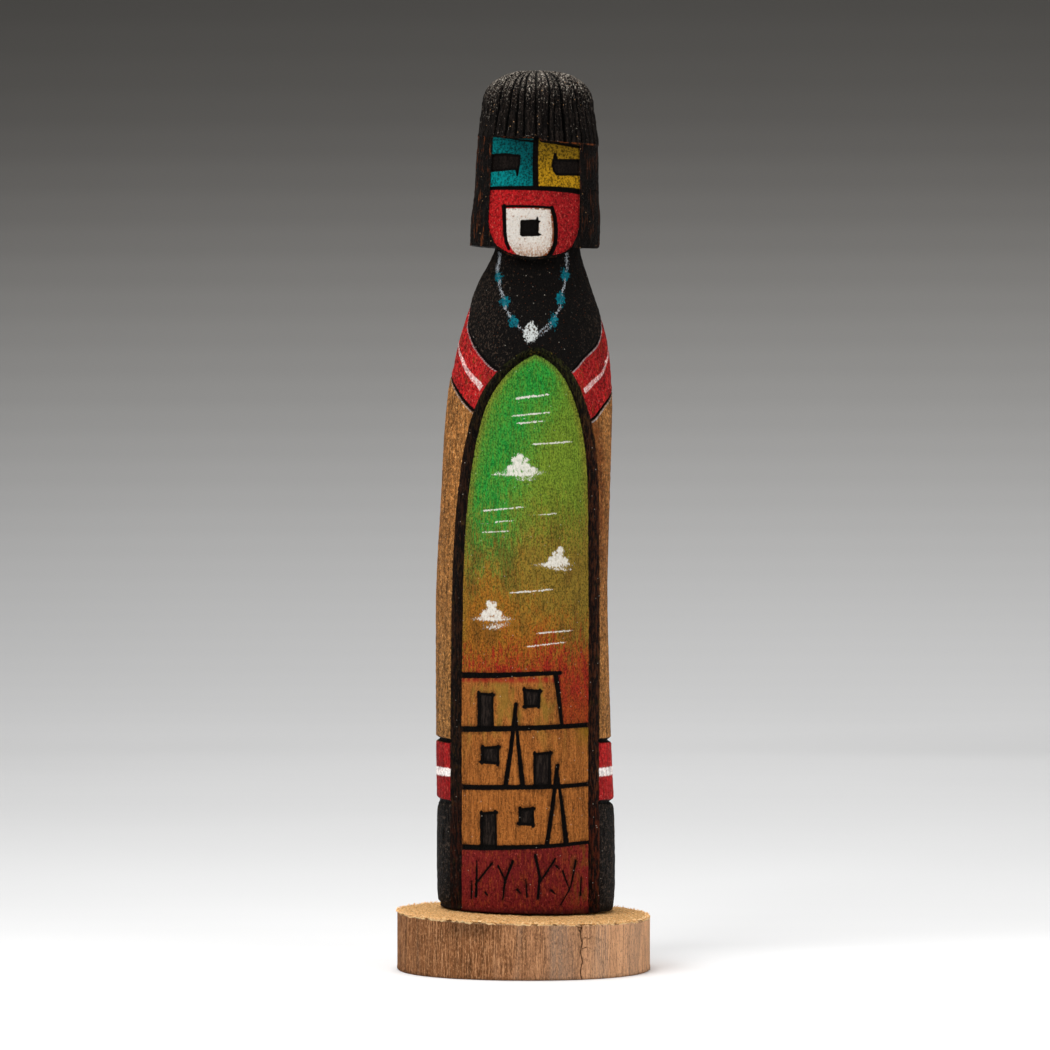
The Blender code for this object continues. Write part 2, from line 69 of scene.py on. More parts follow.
MM = 0.001
OUTSIDE = -9.0      # for places that are far outside every line of a field
OFF_FRONT = 99.0    # X given to places behind, so that no mark of the front view reaches them

# The bowed root: how far its middle wanders sideways, and how its section changes with height
DOLL_TALL = 250.0
SLICE_THICK = 16.9
SLICE_WIDE = 77.0
TOP_FALL = 1.8
GAP_UNDER_DOLL = 0.3
AXIS_Y = 10.4
HALF_BODY = 26.55
BODY_FRONT = 24.9
BODY_BACK = 20.7
HALF_HEAD = 20.0
HEAD_DEEP = 18.6
NECK = (3.3, AXIS_Y)
NECK_SLIMMED = 0.85
SWAY = (
    (0.00, 0.70), (0.10, 0.60), (0.20, 0.00), (0.30, -0.45), (0.37, -0.625), (0.43, -0.20), (0.49, 0.45),
    (0.55, 1.05), (0.61, 1.825), (0.65, 2.525), (0.70, 2.95), (0.76, 3.10), (0.80, 3.40), (0.86, 3.875),
    (0.92, 4.175), (1.00, 4.30),
)
BODY_FORM = (
    (0.000, 0.975, 0.975, 0.975), (0.020, 0.994, 0.995, 0.995), (0.055, 1.000, 1.000, 1.000),
    (0.120, 0.995, 1.000, 1.000), (0.200, 0.983, 1.000, 1.000), (0.300, 0.970, 1.000, 1.000),
    (0.400, 0.960, 0.995, 0.990), (0.490, 0.949, 0.980, 0.975), (0.550, 0.942, 0.965, 0.960),
    (0.605, 0.925, 0.935, 0.940), (0.629, 0.910, 0.915, 0.925), (0.653, 0.882, 0.880, 0.900),
    (0.677, 0.842, 0.840, 0.865), (0.701, 0.780, 0.780, 0.815), (0.725, 0.697, 0.705, 0.745),
    (0.749, 0.618, 0.630, 0.675), (0.772, 0.542, 0.560, 0.610), (0.790, 0.503, 0.525, 0.575),
    (0.840, 0.490, 0.510, 0.560),
)
HAIR_FORM = (
    (0.788, 0.998), (0.820, 0.997), (0.844, 0.967), (0.868, 0.952), (0.892, 0.945),
    (0.9165, 0.925), (0.928, 0.895), (0.940, 0.880), (0.9515, 0.850),
)
DOME_FROM = 0.9515
DOME_SQUARENESS = 2.45
CROWN_REACH = 84.0

# The shawl's seams and the white stripe between them
YOKE_LINE = (
    (-180, 0.742), (-90, 0.722), (-80, 0.7145), (-75, 0.7092), (-68.5, 0.6944), (-58.1, 0.6808),
    (-50.9, 0.6708), (-40.7, 0.6572), (-32.3, 0.6468), (-25.5, 0.640), (0, 0.622), (29.7, 0.6388),
    (41.7, 0.6556), (55.3, 0.6692), (65, 0.6812), (79.4, 0.702), (90, 0.716), (180, 0.742),
)
BORDER_LINE = (
    (-180, 0.650), (-90, 0.6346), (-70.1, 0.6231), (-59.4, 0.612), (-49.7, 0.6004), (-40.3, 0.5903),
    (0, 0.556), (50.3, 0.5819), (64, 0.5979), (90, 0.617), (180, 0.650),
)
STRIPE_LINE = (
    (-180, 0.695), (-90, 0.6736), (-70, 0.6584), (-60, 0.6464), (-48.6, 0.6328), (-40, 0.6228),
    (-34.4, 0.614), (0, 0.585), (42.7, 0.6156), (49.8, 0.6244), (60.7, 0.6348), (73, 0.6512),
    (81, 0.662), (90, 0.670), (180, 0.695),
)
STRIPE_HALF = ((0, 0.95), (35, 0.90), (45, 0.78), (60, 0.60), (75, 0.46), (90, 0.42), (180, 0.50))

# The hem: its cuts (height, share of the depth) and the borders of its paint
HEM_CUTS = ((67.4, 1.0), (49.2, 0.85))
HEM_TOP = 66.9
HEM_STRIPE = 58.1
SKIRT_TOP = 49.4

# The arched panel: apex, half width and the way it widens below the apex
ARCH_TOP = 0.6666
ARCH_HALF = 22.09
PANEL_TOP = 0.6568
PANEL_HALF = 18.77
ARCH_SPREAD = 0.0466
ARCH_POWER = 0.8
PANEL_SWAY = (
    (0.010, 0.40), (0.190, 0.375), (0.310, 0.55), (0.427, 0.80), (0.510, 1.525),
    (0.568, 2.075), (0.604, 2.325), (0.627, 2.875), (0.650, 3.45), (0.667, 3.70),
)

# Burnt strokes in the front view: places, then half widths at the start and the end
STOREY_STROKES = (
    (((-18.9, 86.9), (-8.4, 87.0), (3.3, 87.5), (10.9, 87.7)), 0.92, 0.60),
    (((9.5, 87.6), (10.1, 83.3), (10.8, 78.0), (11.4, 72.4)), 0.78, 0.55),
    (((-19.2, 71.0), (-9.9, 71.3), (7.7, 71.8), (20.3, 72.3)), 0.88, 0.68),
    (((-19.2, 53.9), (-6.9, 54.2), (10.7, 54.4), (20.2, 54.9)), 0.80, 0.62),
    (((-19.2, 36.3), (-9.9, 36.4), (7.7, 37.0), (20.2, 37.8)), 0.84, 0.52),
)
POLES = (
    (((-5.4, 54.6), (-3.7, 66.0), (-2.3, 78.6)), 0.72, 0.62),
    (((-0.3, 54.9), (-1.4, 65.0), (-2.4, 76.0)), 0.80, 0.40),
    (((6.9, 37.4), (8.5, 48.0), (10.1, 60.6)), 0.70, 0.62),
    (((12.7, 37.7), (11.5, 48.0), (10.1, 58.2)), 0.84, 0.38),
)
TUFTS = (
    (((-15.7, 21.2), (-15.5, 26.4)), 0.34, 0.20), (((-14.2, 22.0), (-14.0, 32.4)), 0.46, 0.22),
    (((-13.9, 26.2), (-9.4, 31.9)), 0.26, 0.36), (((-11.4, 23.2), (-10.6, 22.4)), 0.34, 0.22),
    (((-6.2, 21.4), (-5.6, 26.6), (-3.2, 32.6)), 0.26, 0.44), (((-5.2, 26.4), (-7.6, 31.2)), 0.24, 0.34),
    (((-1.9, 24.3), (-0.9, 23.2)), 0.40, 0.22), (((1.0, 22.2), (0.6, 27.4)), 0.32, 0.20),
    (((4.2, 21.6), (4.8, 28.0), (3.4, 34.4)), 0.36, 0.46), (((4.7, 26.2), (9.4, 33.2)), 0.26, 0.36),
    (((8.3, 24.0), (9.3, 23.0)), 0.40, 0.22), (((11.0, 19.6), (14.0, 24.8), (15.6, 32.6)), 0.18, 0.32),
    (((13.5, 24.4), (11.6, 29.6)), 0.24, 0.30), (((17.0, 22.2), (17.2, 27.6)), 0.32, 0.20),
    (((9.6, 31.2), (10.6, 30.2)), 0.34, 0.20),
)
# The village between its roof and its foot, with a shaded band under the roof
ROOF = 87.3
UNDER_ROOF = 85.7
TOP_STOREY = 72.2
TOP_WALL = (72.0, 87.6), (11.45, 9.6)
VILLAGE_FOOT = 36.6
EARTH_LINE = 36.9
# Openings of the village: left, right, foot and head, then small slips of the four corners
WINDOWS = (
    ((0.3, 4.7, 78.0, 82.6), (0.2, -0.1, -0.2, 0.1, 0.1, -0.2, -0.1, 0.2)),
    ((-12.2, -7.8, 61.4, 65.9), (-0.2, 0.1, 0.1, -0.2, 0.2, 0.1, -0.1, -0.2)),
    ((-1.3, 2.9, 43.4, 47.9), (0.1, 0.2, -0.1, -0.1, -0.2, 0.1, 0.2, -0.1)),
)
DOORS = (
    ((-13.5, -9.2, 71.6, 81.4), (0.1, 0.0, -0.1, 0.0, -0.2, -0.1, 0.1, 0.2)),
    ((3.4, 7.7, 54.7, 64.2), (-0.1, 0.0, 0.1, 0.0, 0.2, 0.1, -0.1, -0.2)),
    ((-12.8, -8.3, 36.8, 46.6), (0.1, 0.0, 0.0, 0.0, -0.1, 0.2, 0.2, -0.2)),
)
# White marks in the sky: clouds as bars and dabs (x, z, half width, half height), and thin streaks
CLOUD_DABS = (
    (-1.6, 146.2, 6.4, 0.85), (-3.8, 147.5, 1.5, 1.2), (-1.9, 148.6, 1.6, 1.6), (0.5, 148.0, 1.7, 1.5),
    (-1.2, 150.8, 1.3, 1.3), (-2.9, 150.2, 0.9, 0.9), (2.6, 147.2, 1.3, 1.0), (0.8, 150.1, 0.8, 0.8),
    (4.2, 146.4, 1.6, 0.5), (0.4, 144.7, 2.6, 0.55), (-7.6, 146.0, 1.4, 0.35),
    (9.0, 119.4, 5.0, 0.75), (8.3, 120.7, 1.3, 1.2), (10.4, 121.4, 1.5, 1.5), (12.2, 120.6, 1.2, 1.1),
    (10.9, 123.7, 1.1, 1.1), (9.2, 122.6, 0.8, 0.8), (11.3, 118.1, 2.4, 0.45),
    (-9.4, 103.6, 5.4, 0.75), (-11.4, 104.9, 1.3, 1.2), (-9.5, 105.8, 1.6, 1.5), (-7.5, 105.0, 1.3, 1.2),
    (-10.2, 108.0, 1.1, 1.1), (-8.6, 107.9, 0.8, 0.8), (-7.2, 102.0, 2.8, 0.45), (-9.0, 100.7, 2.0, 0.35),
)
SKY_STREAKS = (
    (((-2.5, 168.2), (7.6, 169.4)), 0.34, 0.16), (((-4.0, 163.0), (8.4, 164.2)), 0.20, 0.12),
    (((-2.0, 160.9), (6.2, 161.6)), 0.18, 0.10), (((2.4, 154.7), (14.6, 155.6)), 0.18, 0.22),
    (((-12.8, 135.2), (0.6, 136.4)), 0.22, 0.12), (((-13.4, 131.6), (-1.6, 132.6)), 0.24, 0.14),
    (((0.6, 133.6), (10.4, 134.6)), 0.16, 0.12), (((-12.2, 128.9), (-4.2, 129.4)), 0.18, 0.10),
    (((-4.2, 111.2), (8.8, 112.2)), 0.20, 0.14), (((0.2, 95.4), (13.0, 96.8)), 0.20, 0.12),
    (((3.8, 99.3), (14.8, 100.2)), 0.18, 0.12),
)

# The necklace in the front view: its string, and beads as dabs
THREADS = (
    (((-7.1, 211.6), (-7.1, 210.1), (-7.8, 206.5), (-7.3, 203.9), (-7.1, 201.7), (-6.2, 198.7), (-5.5, 196.9),
      (-5.5, 195.1), (-4.0, 192.5), (-3.0, 191.2), (-2.2, 190.0), (-0.1, 188.3)), 0.42, 0.30),
    (((4.3, 187.5), (7.4, 190.2), (8.8, 191.4), (9.5, 192.9), (10.8, 195.4), (11.0, 198.0), (11.5, 199.4),
      (12.1, 202.7), (12.2, 205.0), (12.8, 207.1), (12.8, 211.6)), 0.20, 0.36),
    (((4.6, 186.6), (7.6, 188.8), (9.2, 191.0)), 0.16, 0.22),
)
BEADS = (
    (-7.4, 204.3, 1.0, 1.5), (-5.5, 196.9, 1.4, 1.5), (-3.0, 190.9, 1.5, 1.7),
    (8.8, 191.0, 1.2, 2.0), (10.9, 197.8, 1.3, 1.9), (12.2, 205.0, 1.4, 1.7),
)
PENDANT = ((2.1, 187.7, 2.0, 2.9),)

# The mask's own lines: across and up from the line under the eyes, in the lean of the head
FACE_LEAN = 2.0
FACE_SHIFT = -0.54
EYE_LEVEL = 0.8520
CHIN_FROM = -9.0
FACE_EDGE = (
    (-13.35, 18.5), (-13.51, 14.9), (-13.7, 0.93), (-13.88, -9.8), (-13.36, -12.6), (-11.85, -15.9),
    (-10.15, -17.8), (-7.91, -19.3), (-5.9, -19.95), (-3.5, -20.4), (-0.74, -20.8), (2.52, -20.6),
    (5.0, -20.1), (7.39, -19.7), (10.36, -18.2), (11.68, -17.0), (13.39, -12.95), (13.92, -10.2),
    (13.81, 0.8), (13.22, 14.2), (13.1, 18.5),
)
LEFT_EYE = (
    (-14.8, 10.25), (-12.0, 10.65), (-9.23, 10.75), (-4.5, 10.2), (-4.6, 7.8), (-5.1, 3.9), (-5.65, 3.9),
    (-5.95, 5.75), (-9.6, 5.4), (-14.8, 5.05),
)
RIGHT_EYE = (
    (14.6, 9.95), (6.5, 9.4), (6.1, 11.2), (5.35, 11.2), (4.95, 9.0), (4.7, 7.5), (5.2, 5.7), (6.2, 4.5),
    (9.66, 4.65), (14.6, 4.95),
)
MUZZLE = (
    (-8.45, -5.7), (-8.4, -9.7), (-8.1, -13.5), (-7.5, -15.4), (-5.8, -18.25), (-3.5, -20.2), (-0.75, -20.75),
    (2.5, -20.3), (4.65, -18.5), (5.7, -16.2), (6.05, -12.2), (5.7, -9.4), (4.9, -5.35),
)
MOUTH = (
    (-3.7, -9.0), (0.6, -8.8), (1.0, -7.5), (1.5, -8.85), (2.1, -9.3), (1.6, -9.8), (1.6, -12.7), (2.6, -13.15),
    (1.7, -13.65), (-3.3, -13.95), (-3.95, -13.5), (-4.0, -9.4),
)
FACE_STROKES = (
    (((-0.1, 16.5), (-0.2, 11.8), (-0.1, 7.3), (0.15, 2.9), (0.3, 1.2)), 0.80, 0.85),
    (((-14.4, 0.3), (-4.4, 0.45), (3.9, 0.55), (11.0, 0.4), (15.2, 0.0)), 0.50, 0.85),
    (((-9.3, -5.05), (-4.2, -4.95), (1.7, -4.95), (5.6, -5.1)), 0.36, 0.36),
    (((-9.0, -5.0), (-8.75, -9.1), (-8.45, -13.0), (-7.95, -15.7), (-7.1, -17.6)), 0.66, 0.46),
    (((5.3, -5.0), (6.3, -8.1), (6.7, -11.6), (6.7, -15.4), (5.8, -18.0), (4.5, -20.0)), 0.58, 0.66),
    (((-8.6, 15.2), (-4.6, 14.6), (-0.8, 14.3)), 0.12, 0.36),
    (((1.4, 14.6), (8.0, 13.9), (13.4, 13.4)), 0.40, 0.45),
)

# The hair: its lower edge, the fringe's edge, and the knife's flutes (degrees low and high, depth)
HAIR_FOOT = 213.0
HEM_REACH = 240.0
UNDER_CHIN = 214.8
HEM_LINE = (
    (-180, 214.2), (-90, 214.6), (-70, 214.2), (-43, 213.3), (0, 213.0), (43, 212.9), (72, 213.2),
    (84, 213.9), (92, 215.0), (120, 214.4), (180, 214.2),
)
FRINGE_LINE = (
    (-90, 246.9), (-60, 246.4), (-42, 246.1), (-28, 245.5), (-14, 245.4), (-4, 245.4), (-0.5, 245.7),
    (2, 244.9), (4, 244.3), (15, 244.0), (28, 243.8), (43, 243.8), (64, 243.9), (90, 244.2),
)
FRONT_FLUTES = (
    (-82, -80, 0.40), (-73, -71, 0.28), (-64, -61, 0.42), (-56, -53, 0.26), (-46.5, -43, 0.62),
    (-39.5, -36, 0.24), (-32.6, -29, 0.58), (-27.5, -25, 0.20), (-21.6, -21.5, 0.56), (-13.6, -14.4, 0.55),
    (-7.8, -8.0, 0.22), (-1.6, -2.7, 0.50), (4.8, 4.0, 0.22), (10.6, 12.0, 0.52), (16.2, 18.0, 0.36),
    (21.2, 21.4, 0.24), (26.6, 24.6, 0.80), (33.6, 31.5, 0.28), (40.0, 38.0, 0.34), (46.4, 44.5, 0.50),
    (51.6, 50, 0.28), (58.4, 56, 0.38), (68.2, 66, 0.42), (77.0, 75, 0.30),
)
FLUTE_WIDE = 1.15

# How much of the lit colour the backdrop's paper takes along its sweep, from the near floor to high up the wall; the
# rest is painted shade
PAPER_LIT_SHARES = (
    (-3.000, 1.000), (-0.350, 1.000), (-0.117, 1.000), (-0.006, 0.916), (0.126, 0.794), (0.288, 0.748),
    (0.490, 0.732), (0.748, 0.772), (1.090, 0.905), (1.300, 0.990), (1.394, 0.976), (1.488, 0.907),
    (1.583, 0.834), (1.677, 0.753),
    (1.771, 0.657), (1.865, 0.542), (1.960, 0.423), (2.054, 0.321), (2.148, 0.218), (2.242, 0.141), (2.337, 0.101),
)

# The slice of root: its shape, its crack and the chips in its rim (bearing, reach, depth)
SLICE_LOBES = ((2, 0.012, 0.0), (4, -0.010, 0.0), (3, 0.012, 120.0))
RIM_RADIUS = 38.5
CRACK_BEARING = 24.9
CRACK_STROKES = (
    (((0.1, -1.0), (-0.3, 2.6), (0.3, 5.4), (-0.3, 8.0), (0.2, 10.6), (-0.3, 13.0), (0.3, 18.0)), 0.12, 0.17),
    (((0.1, 11.6), (1.2, 12.2), (2.2, 11.7), (3.2, 12.4)), 0.12, 0.05),
    (((0.1, 8.9), (1.4, 9.4), (2.8, 9.0)), 0.11, 0.05),
    (((-0.1, 13.6), (-0.8, 14.4), (-0.9, 15.2)), 0.14, 0.06), (((0.2, 5.6), (0.9, 5.2)), 0.06, 0.0),
)
TOP_CRACK_STROKES = ((((0.1, 16.5), (-0.4, 18.4), (0.3, 20.6), (0.0, 23.0)), 0.30, 0.05),)
RIM_CHIPS = (
    (-10.0, 4.4, 1.5), (-21.5, 3.6, 1.3), (25.0, 5.0, 1.4), (29.5, 3.4, 1.1), (62.0, 4.0, 0.9), (-70.0, 3.0, 0.9),
    (118.0, 4.0, 1.0), (171.0, 3.4, 0.9), (-141.0, 4.4, 1.0), (4.0, 2.0, 0.6), (-35.0, 2.4, 0.7), (-48.0, 1.8, 0.6),
    (43.0, 2.2, 0.6), (13.0, 1.6, 0.5),
)


def curve(knots, at, column=1):
    """Values along a curve through knots that never overshoots them."""
    table = np.array(knots, float)
    x, y = table[:, 0], table[:, column]
    step = np.diff(x)
    slope = np.diff(y) / step
    together = slope[:-1] * slope[1:] > 0
    inner = 2 * slope[:-1] * slope[1:] / np.where(together, slope[:-1] + slope[1:], 1.0)
    tangent = np.concatenate([slope[:1], np.where(together, inner, 0.0), slope[-1:]])
    at = np.clip(at, x[0], x[-1])
    i = np.clip(np.searchsorted(x, at, side="right") - 1, 0, len(x) - 2)
    t = (at - x[i]) / step[i]
    lean = (tangent[i] * (1 - t) ** 2 * t - tangent[i + 1] * (1 - t) * t**2) * step[i]
    return y[i] + (y[i + 1] - y[i]) * t * t * (3 - 2 * t) + lean


def ease(value, low, high):
    """0 below low and 1 above high, with a smooth step between them."""
    t = np.clip((value - low) / (high - low), 0.0, 1.0)
    return t * t * (3 - 2 * t)


def groove(field, reach, full):
    """A cut's share of its depth: it starts as far outside the line as reach says."""
    return np.clip(field + reach, 0, full) / full


def wrapped(degrees):
    """The same angles between -180 and 180 degrees."""
    return (degrees + 180) % 360 - 180


def lumps(points, size, seed):
    """Smooth irregular values from -1 to 1, in lumps as large as the size says in each direction."""
    table = np.random.default_rng(seed).uniform(-1, 1, 4096)
    place = points / np.array(size, float) + 1000.0
    cell = np.floor(place).astype(np.int64)
    t = place - cell
    t = t * t * (3 - 2 * t)
    total = np.zeros(points.shape[:-1])
    for corner in np.ndindex(2, 2, 2):
        a, b, c = (cell[..., k] + corner[k] for k in range(3))
        pick = (a * 73856093 ^ b * 19349663 ^ c * 83492791) % 4096
        total += table[pick] * np.prod(np.where(corner, t, 1 - t), axis=-1)
    return total


def hollows(points, size, seed, deep):
    """Irregular hollows, from nothing to as deep as said."""
    return (lumps(points, size, seed) * 0.5 + 0.5) * deep


def path_distance(x, z, path):
    """How far places lie from a path, and the share of its length at which they are nearest."""
    line = np.array(path, float)
    length = np.hypot(*np.diff(line, axis=0).T)
    passed = np.concatenate([[0.0], np.cumsum(length)])
    nearest = np.full(x.shape, 1e9)
    share = np.zeros(x.shape)
    for (x0, z0), (dx, dz), long, start in zip(line, np.diff(line, axis=0), length, passed):
        t = np.clip(((x - x0) * dx + (z - z0) * dz) / max(long**2, 1e-9), 0, 1)
        gap = np.hypot(x - x0 - t * dx, z - z0 - t * dz)
        share = np.where(gap < nearest, (start + t * long) / passed[-1], share)
        nearest = np.minimum(nearest, gap)
    return nearest, share


def stroke_field(x, z, strokes):
    """Positive inside any of the strokes, by how far inside, and negative outside."""
    best = np.full(x.shape, OUTSIDE)
    for path, start, end in strokes:
        xs, zs = np.array(path, float).T
        near = (x > xs.min() - 3) & (x < xs.max() + 3) & (z > zs.min() - 3) & (z < zs.max() + 3)
        gap, share = path_distance(x[near], z[near], path)
        best[near] = np.maximum(best[near], start + (end - start) * share - gap)
    return best


def outline_field(x, z, outline):
    """Positive inside a closed outline, by the distance from its edge, and negative outside."""
    points = np.array(outline, float)
    gap = path_distance(x, z, np.vstack([points, points[:1]]))[0]
    inside = np.zeros(x.shape, bool)
    for (x0, z0), (x1, z1) in zip(points, np.roll(points, -1, 0)):
        if z0 != z1:
            inside ^= ((z0 > z) != (z1 > z)) & (x < (x1 - x0) * (z - z0) / (z1 - z0) + x0)
    return np.where(inside, gap, -gap)


def streak_fields(x, z):
    """How far places lie above the nearest thin streak, and half its thickness there."""
    offset = np.full(x.shape, -OUTSIDE)
    half = np.full(x.shape, -5.0)
    for ((x0, z0), (x1, z1)), start, end in SKY_STREAKS:
        share = (x - x0) / (x1 - x0)
        gap = z - z0 - (z1 - z0) * share
        past_end = np.clip(np.abs(share - 0.5) - 0.42, 0, None) * (x1 - x0)
        nearer = (np.abs(gap) < np.abs(offset)) & (np.abs(gap) < 0.95)
        offset = np.where(nearer, gap, offset)
        half = np.where(nearer, start + (end - start) * share - 0.3 * past_end, half)
    return np.clip(offset, -2, 2), np.clip(half, -5, 2)


def dab_field(x, z, dabs):
    """Positive inside any of the soft oval dabs."""
    best = np.full(x.shape, OUTSIDE)
    for cx, cz, across, up in dabs:
        reach = np.hypot((x - cx) / across, (z - cz) / up)
        best = np.maximum(best, (1 - reach) * min(across, up))
    return best


def outward(grid):
    """The way out of a grid of points at each of them."""
    across = np.roll(grid, -1, 1) - np.roll(grid, 1, 1)
    normal = np.cross(across, np.gradient(grid, axis=0))
    return normal / np.maximum(np.linalg.norm(normal, axis=-1, keepdims=True), 1e-9)


def rows_of(*stretches):
    """Levels from stretches given as start, end and step."""
    levels = [np.arange(*stretch) for stretch in stretches]
    return np.concatenate(levels + [[stretches[-1][1]]])


def columns_of(*stretches):
    """Angles once round, in degrees from the front, from stretches given as start, end and count."""
    angles = np.concatenate([np.linspace(*stretch, endpoint=False) for stretch in stretches])
    return np.where(angles > 180, angles - 360, angles)


def skin(name, grid, fields, node, material):
    """One closed piece over a grid of points in mm, with the paint fields kept on its points."""
    rows, columns = grid.shape[:2]
    i = np.arange(columns)
    j = (i + 1) % columns
    low = (np.arange(rows - 1) * columns)[:, None]
    quads = np.stack([low + i, low + j, low + j + columns, low + i + columns], axis=-1).reshape(-1, 4)
    faces = quads.tolist() + [i[::-1].tolist(), (i + (rows - 1) * columns).tolist()]
    mesh = bpy.data.meshes.new(name)
    mesh.from_pydata((grid.reshape(-1, 3) * MM).tolist(), [], faces)
    for key, values in fields.items():
        add_field(mesh, key, np.broadcast_to(values, (rows, columns)))
    mesh.shade_smooth()
    add_piece(name, mesh, node, material)


def add_field(mesh, name, values):
    """Keeps one number on each point of a mesh, for its material to read."""
    layer = mesh.attributes.new(name, "FLOAT", "POINT")
    layer.data.foreach_set("value", values.astype(np.float32).ravel())


def add_piece(name, mesh, node, material):
    mesh.materials.append(material)
    piece = bpy.data.objects.new(name, mesh)
    bpy.context.scene.collection.objects.link(piece)
    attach(piece, "root")
    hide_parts(node)


# ---------------------------------------------------------------- paint and wood


def paint(red, green, blue):
    """A colour as it looks in daylight, turned into the light it gives back."""
    shades = (value / 255 for value in (red, green, blue))
    return tuple(s / 12.92 if s < 0.04045 else ((s + 0.055) / 1.055) ** 2.4 for s in shades)


class Tone:
    """A value or a colour that varies over a material, with the arithmetic that coats need."""

    def __init__(self, coats, socket):
        self.coats, self.socket = coats, socket

    def __add__(self, other):
        return self.coats.math("ADD", self, other)

    def __sub__(self, other):
        return self.coats.math("SUBTRACT", self, other)

    def __rsub__(self, other):
        return self.coats.math("SUBTRACT", other, self)

    def __mul__(self, other):
        return self.coats.math("MULTIPLY", self, other)

    def __abs__(self):
        return self.coats.math("ABSOLUTE", self)

    def ramp(self, low, high, end=1.0, start=0.0):
        """Goes smoothly from start, where the value is low, to end, where it is high."""
        node = self.coats.node("MapRange", self, low, high, start, end)
        node.interpolation_type = "SMOOTHSTEP"
        return Tone(self.coats, node.outputs["Result"])

    def edge(self, wobble, at=0.0, soft=0.12):
        """A brushed border: 1 where the value is above a level that a wobble moves about."""
        return (self + wobble).ramp(at - soft, at + soft)


class Coats:
    """The nodes of one material, laid one coat over another in the chosen colours."""

    def __init__(self, name, colours):
        self.colours = colours
        self.material = bpy.data.materials.new(name)
        self.material.use_nodes = True
        self.tree = self.material.node_tree
        self.place = self.node("TexCoord").outputs["Object"]

    def wire(self, source, socket):
        """Joins a socket to a tone, or sets it to a plain value or to a colour by its name."""
        source = self.colours[source] if isinstance(source, str) else source
        source = source.socket if isinstance(source, Tone) else source
        if isinstance(source, bpy.types.NodeSocket):
            self.tree.links.new(source, socket)
        elif socket.type == "RGBA":
            socket.default_value = (*source, 1.0)
        else:
            socket.default_value = source

    def node(self, kind, *inputs):
        """A new node with its first inputs joined or set."""
        node = self.tree.nodes.new("ShaderNode" + kind)
        for value, socket in zip(inputs, node.inputs):
            self.wire(value, socket)
        return node

    def math(self, operation, *values):
        node = self.node("Math", *values)
        node.operation = operation
        return Tone(self, node.outputs[0])

    def field(self, name):
        """The value kept on the mesh under a name."""
        node = self.node("Attribute")
        node.attribute_name = name
        return Tone(self, node.outputs["Fac"])

    def along(self, axis):
        """The place along X or Z, in millimetres."""
        return Tone(self, self.node("SeparateXYZ", self.place).outputs[axis]) * 1000.0

    def pattern(self, kind, size, seed):
        """A texture stretched to a size in mm, at a place of its own."""
        mapping = self.node("Mapping", self.place, (seed, seed * 0.7, seed * 1.3))
        mapping.inputs["Scale"].default_value = [1000.0 / s for s in size]
        node = self.node(kind, mapping.outputs[0])
        node.inputs["Scale"].default_value = 1.0
        return node

    def noise(self, size, detail, rough, seed):
        """Irregular values about a half, in lumps of the size in mm."""
        node = self.pattern("TexNoise", size, seed)
        node.inputs["Detail"].default_value = detail
        node.inputs["Roughness"].default_value = rough
        return Tone(self, node.outputs["Fac"])

    def cells(self, size, seed):
        """Distance from the nearest of many scattered points, in shares of the size in mm."""
        return Tone(self, self.pattern("TexVoronoi", (size,) * 3, seed).outputs["Distance"])

    def lay(self, under, *coats):
        """Lays coats over a colour, each as far as its share says.

        A coat is a colour's name or a tone to cover with, one number to darken by, or three to tint by.
        """
        for share, over in coats:
            over = (over,) * 3 if isinstance(over, float) else over
            node = self.node("MixRGB", share, under, over)
            if isinstance(over, tuple):
                node.blend_type = "MULTIPLY"
            under = Tone(self, node.outputs[0])
        return under

    def finish(self, colour, roughness, bumps, specular):
        """Joins the coats to the shader, with bumps given as (value, height in mm)."""
        shader = self.tree.nodes["Principled BSDF"]
        self.wire(colour, shader.inputs["Base Color"])
        self.wire(roughness, shader.inputs["Roughness"])
        shader.inputs["Specular IOR Level"].default_value = specular
        total, *others = (value * height for value, height in bumps)
        for other in others:
            total = total + other
        bump = self.node("Bump")
        bump.inputs["Distance"].default_value = MM
        bump.inputs["Strength"].default_value = 1.0
        self.wire(total, bump.inputs["Height"])
        self.wire(Tone(self, bump.outputs[0]), shader.inputs["Normal"])
        return self.material


def wood_grain(coats, bare, dark, pale):
    """Bare cottonwood: long streaks, fine fibres and small dark pores, all running up the root."""
    streaks = coats.noise((1.8, 1.8, 40.0), 3.0, 0.6, 3.0)
    fibres = coats.noise((0.4, 0.4, 4.2), 3.0, 0.66, 7.0)
    pores = coats.noise((0.38, 0.38, 0.85), 2.0, 0.66, 11.0)
    grains = coats.noise((0.4, 0.4, 0.48), 2.0, 0.68, 13.0)
    wood = coats.lay(
        bare,
        (streaks.ramp(0.44, 0.70, 0.60), dark),
        (fibres.ramp(0.48, 0.62, 0.62), dark),
        (fibres.ramp(0.46, 0.34, 0.40), pale),
        (grains.ramp(0.55, 0.64, 0.70), pale),
        (pores.ramp(0.52, 0.64, 0.80), 0.42),
    )
    return wood, fibres, pores


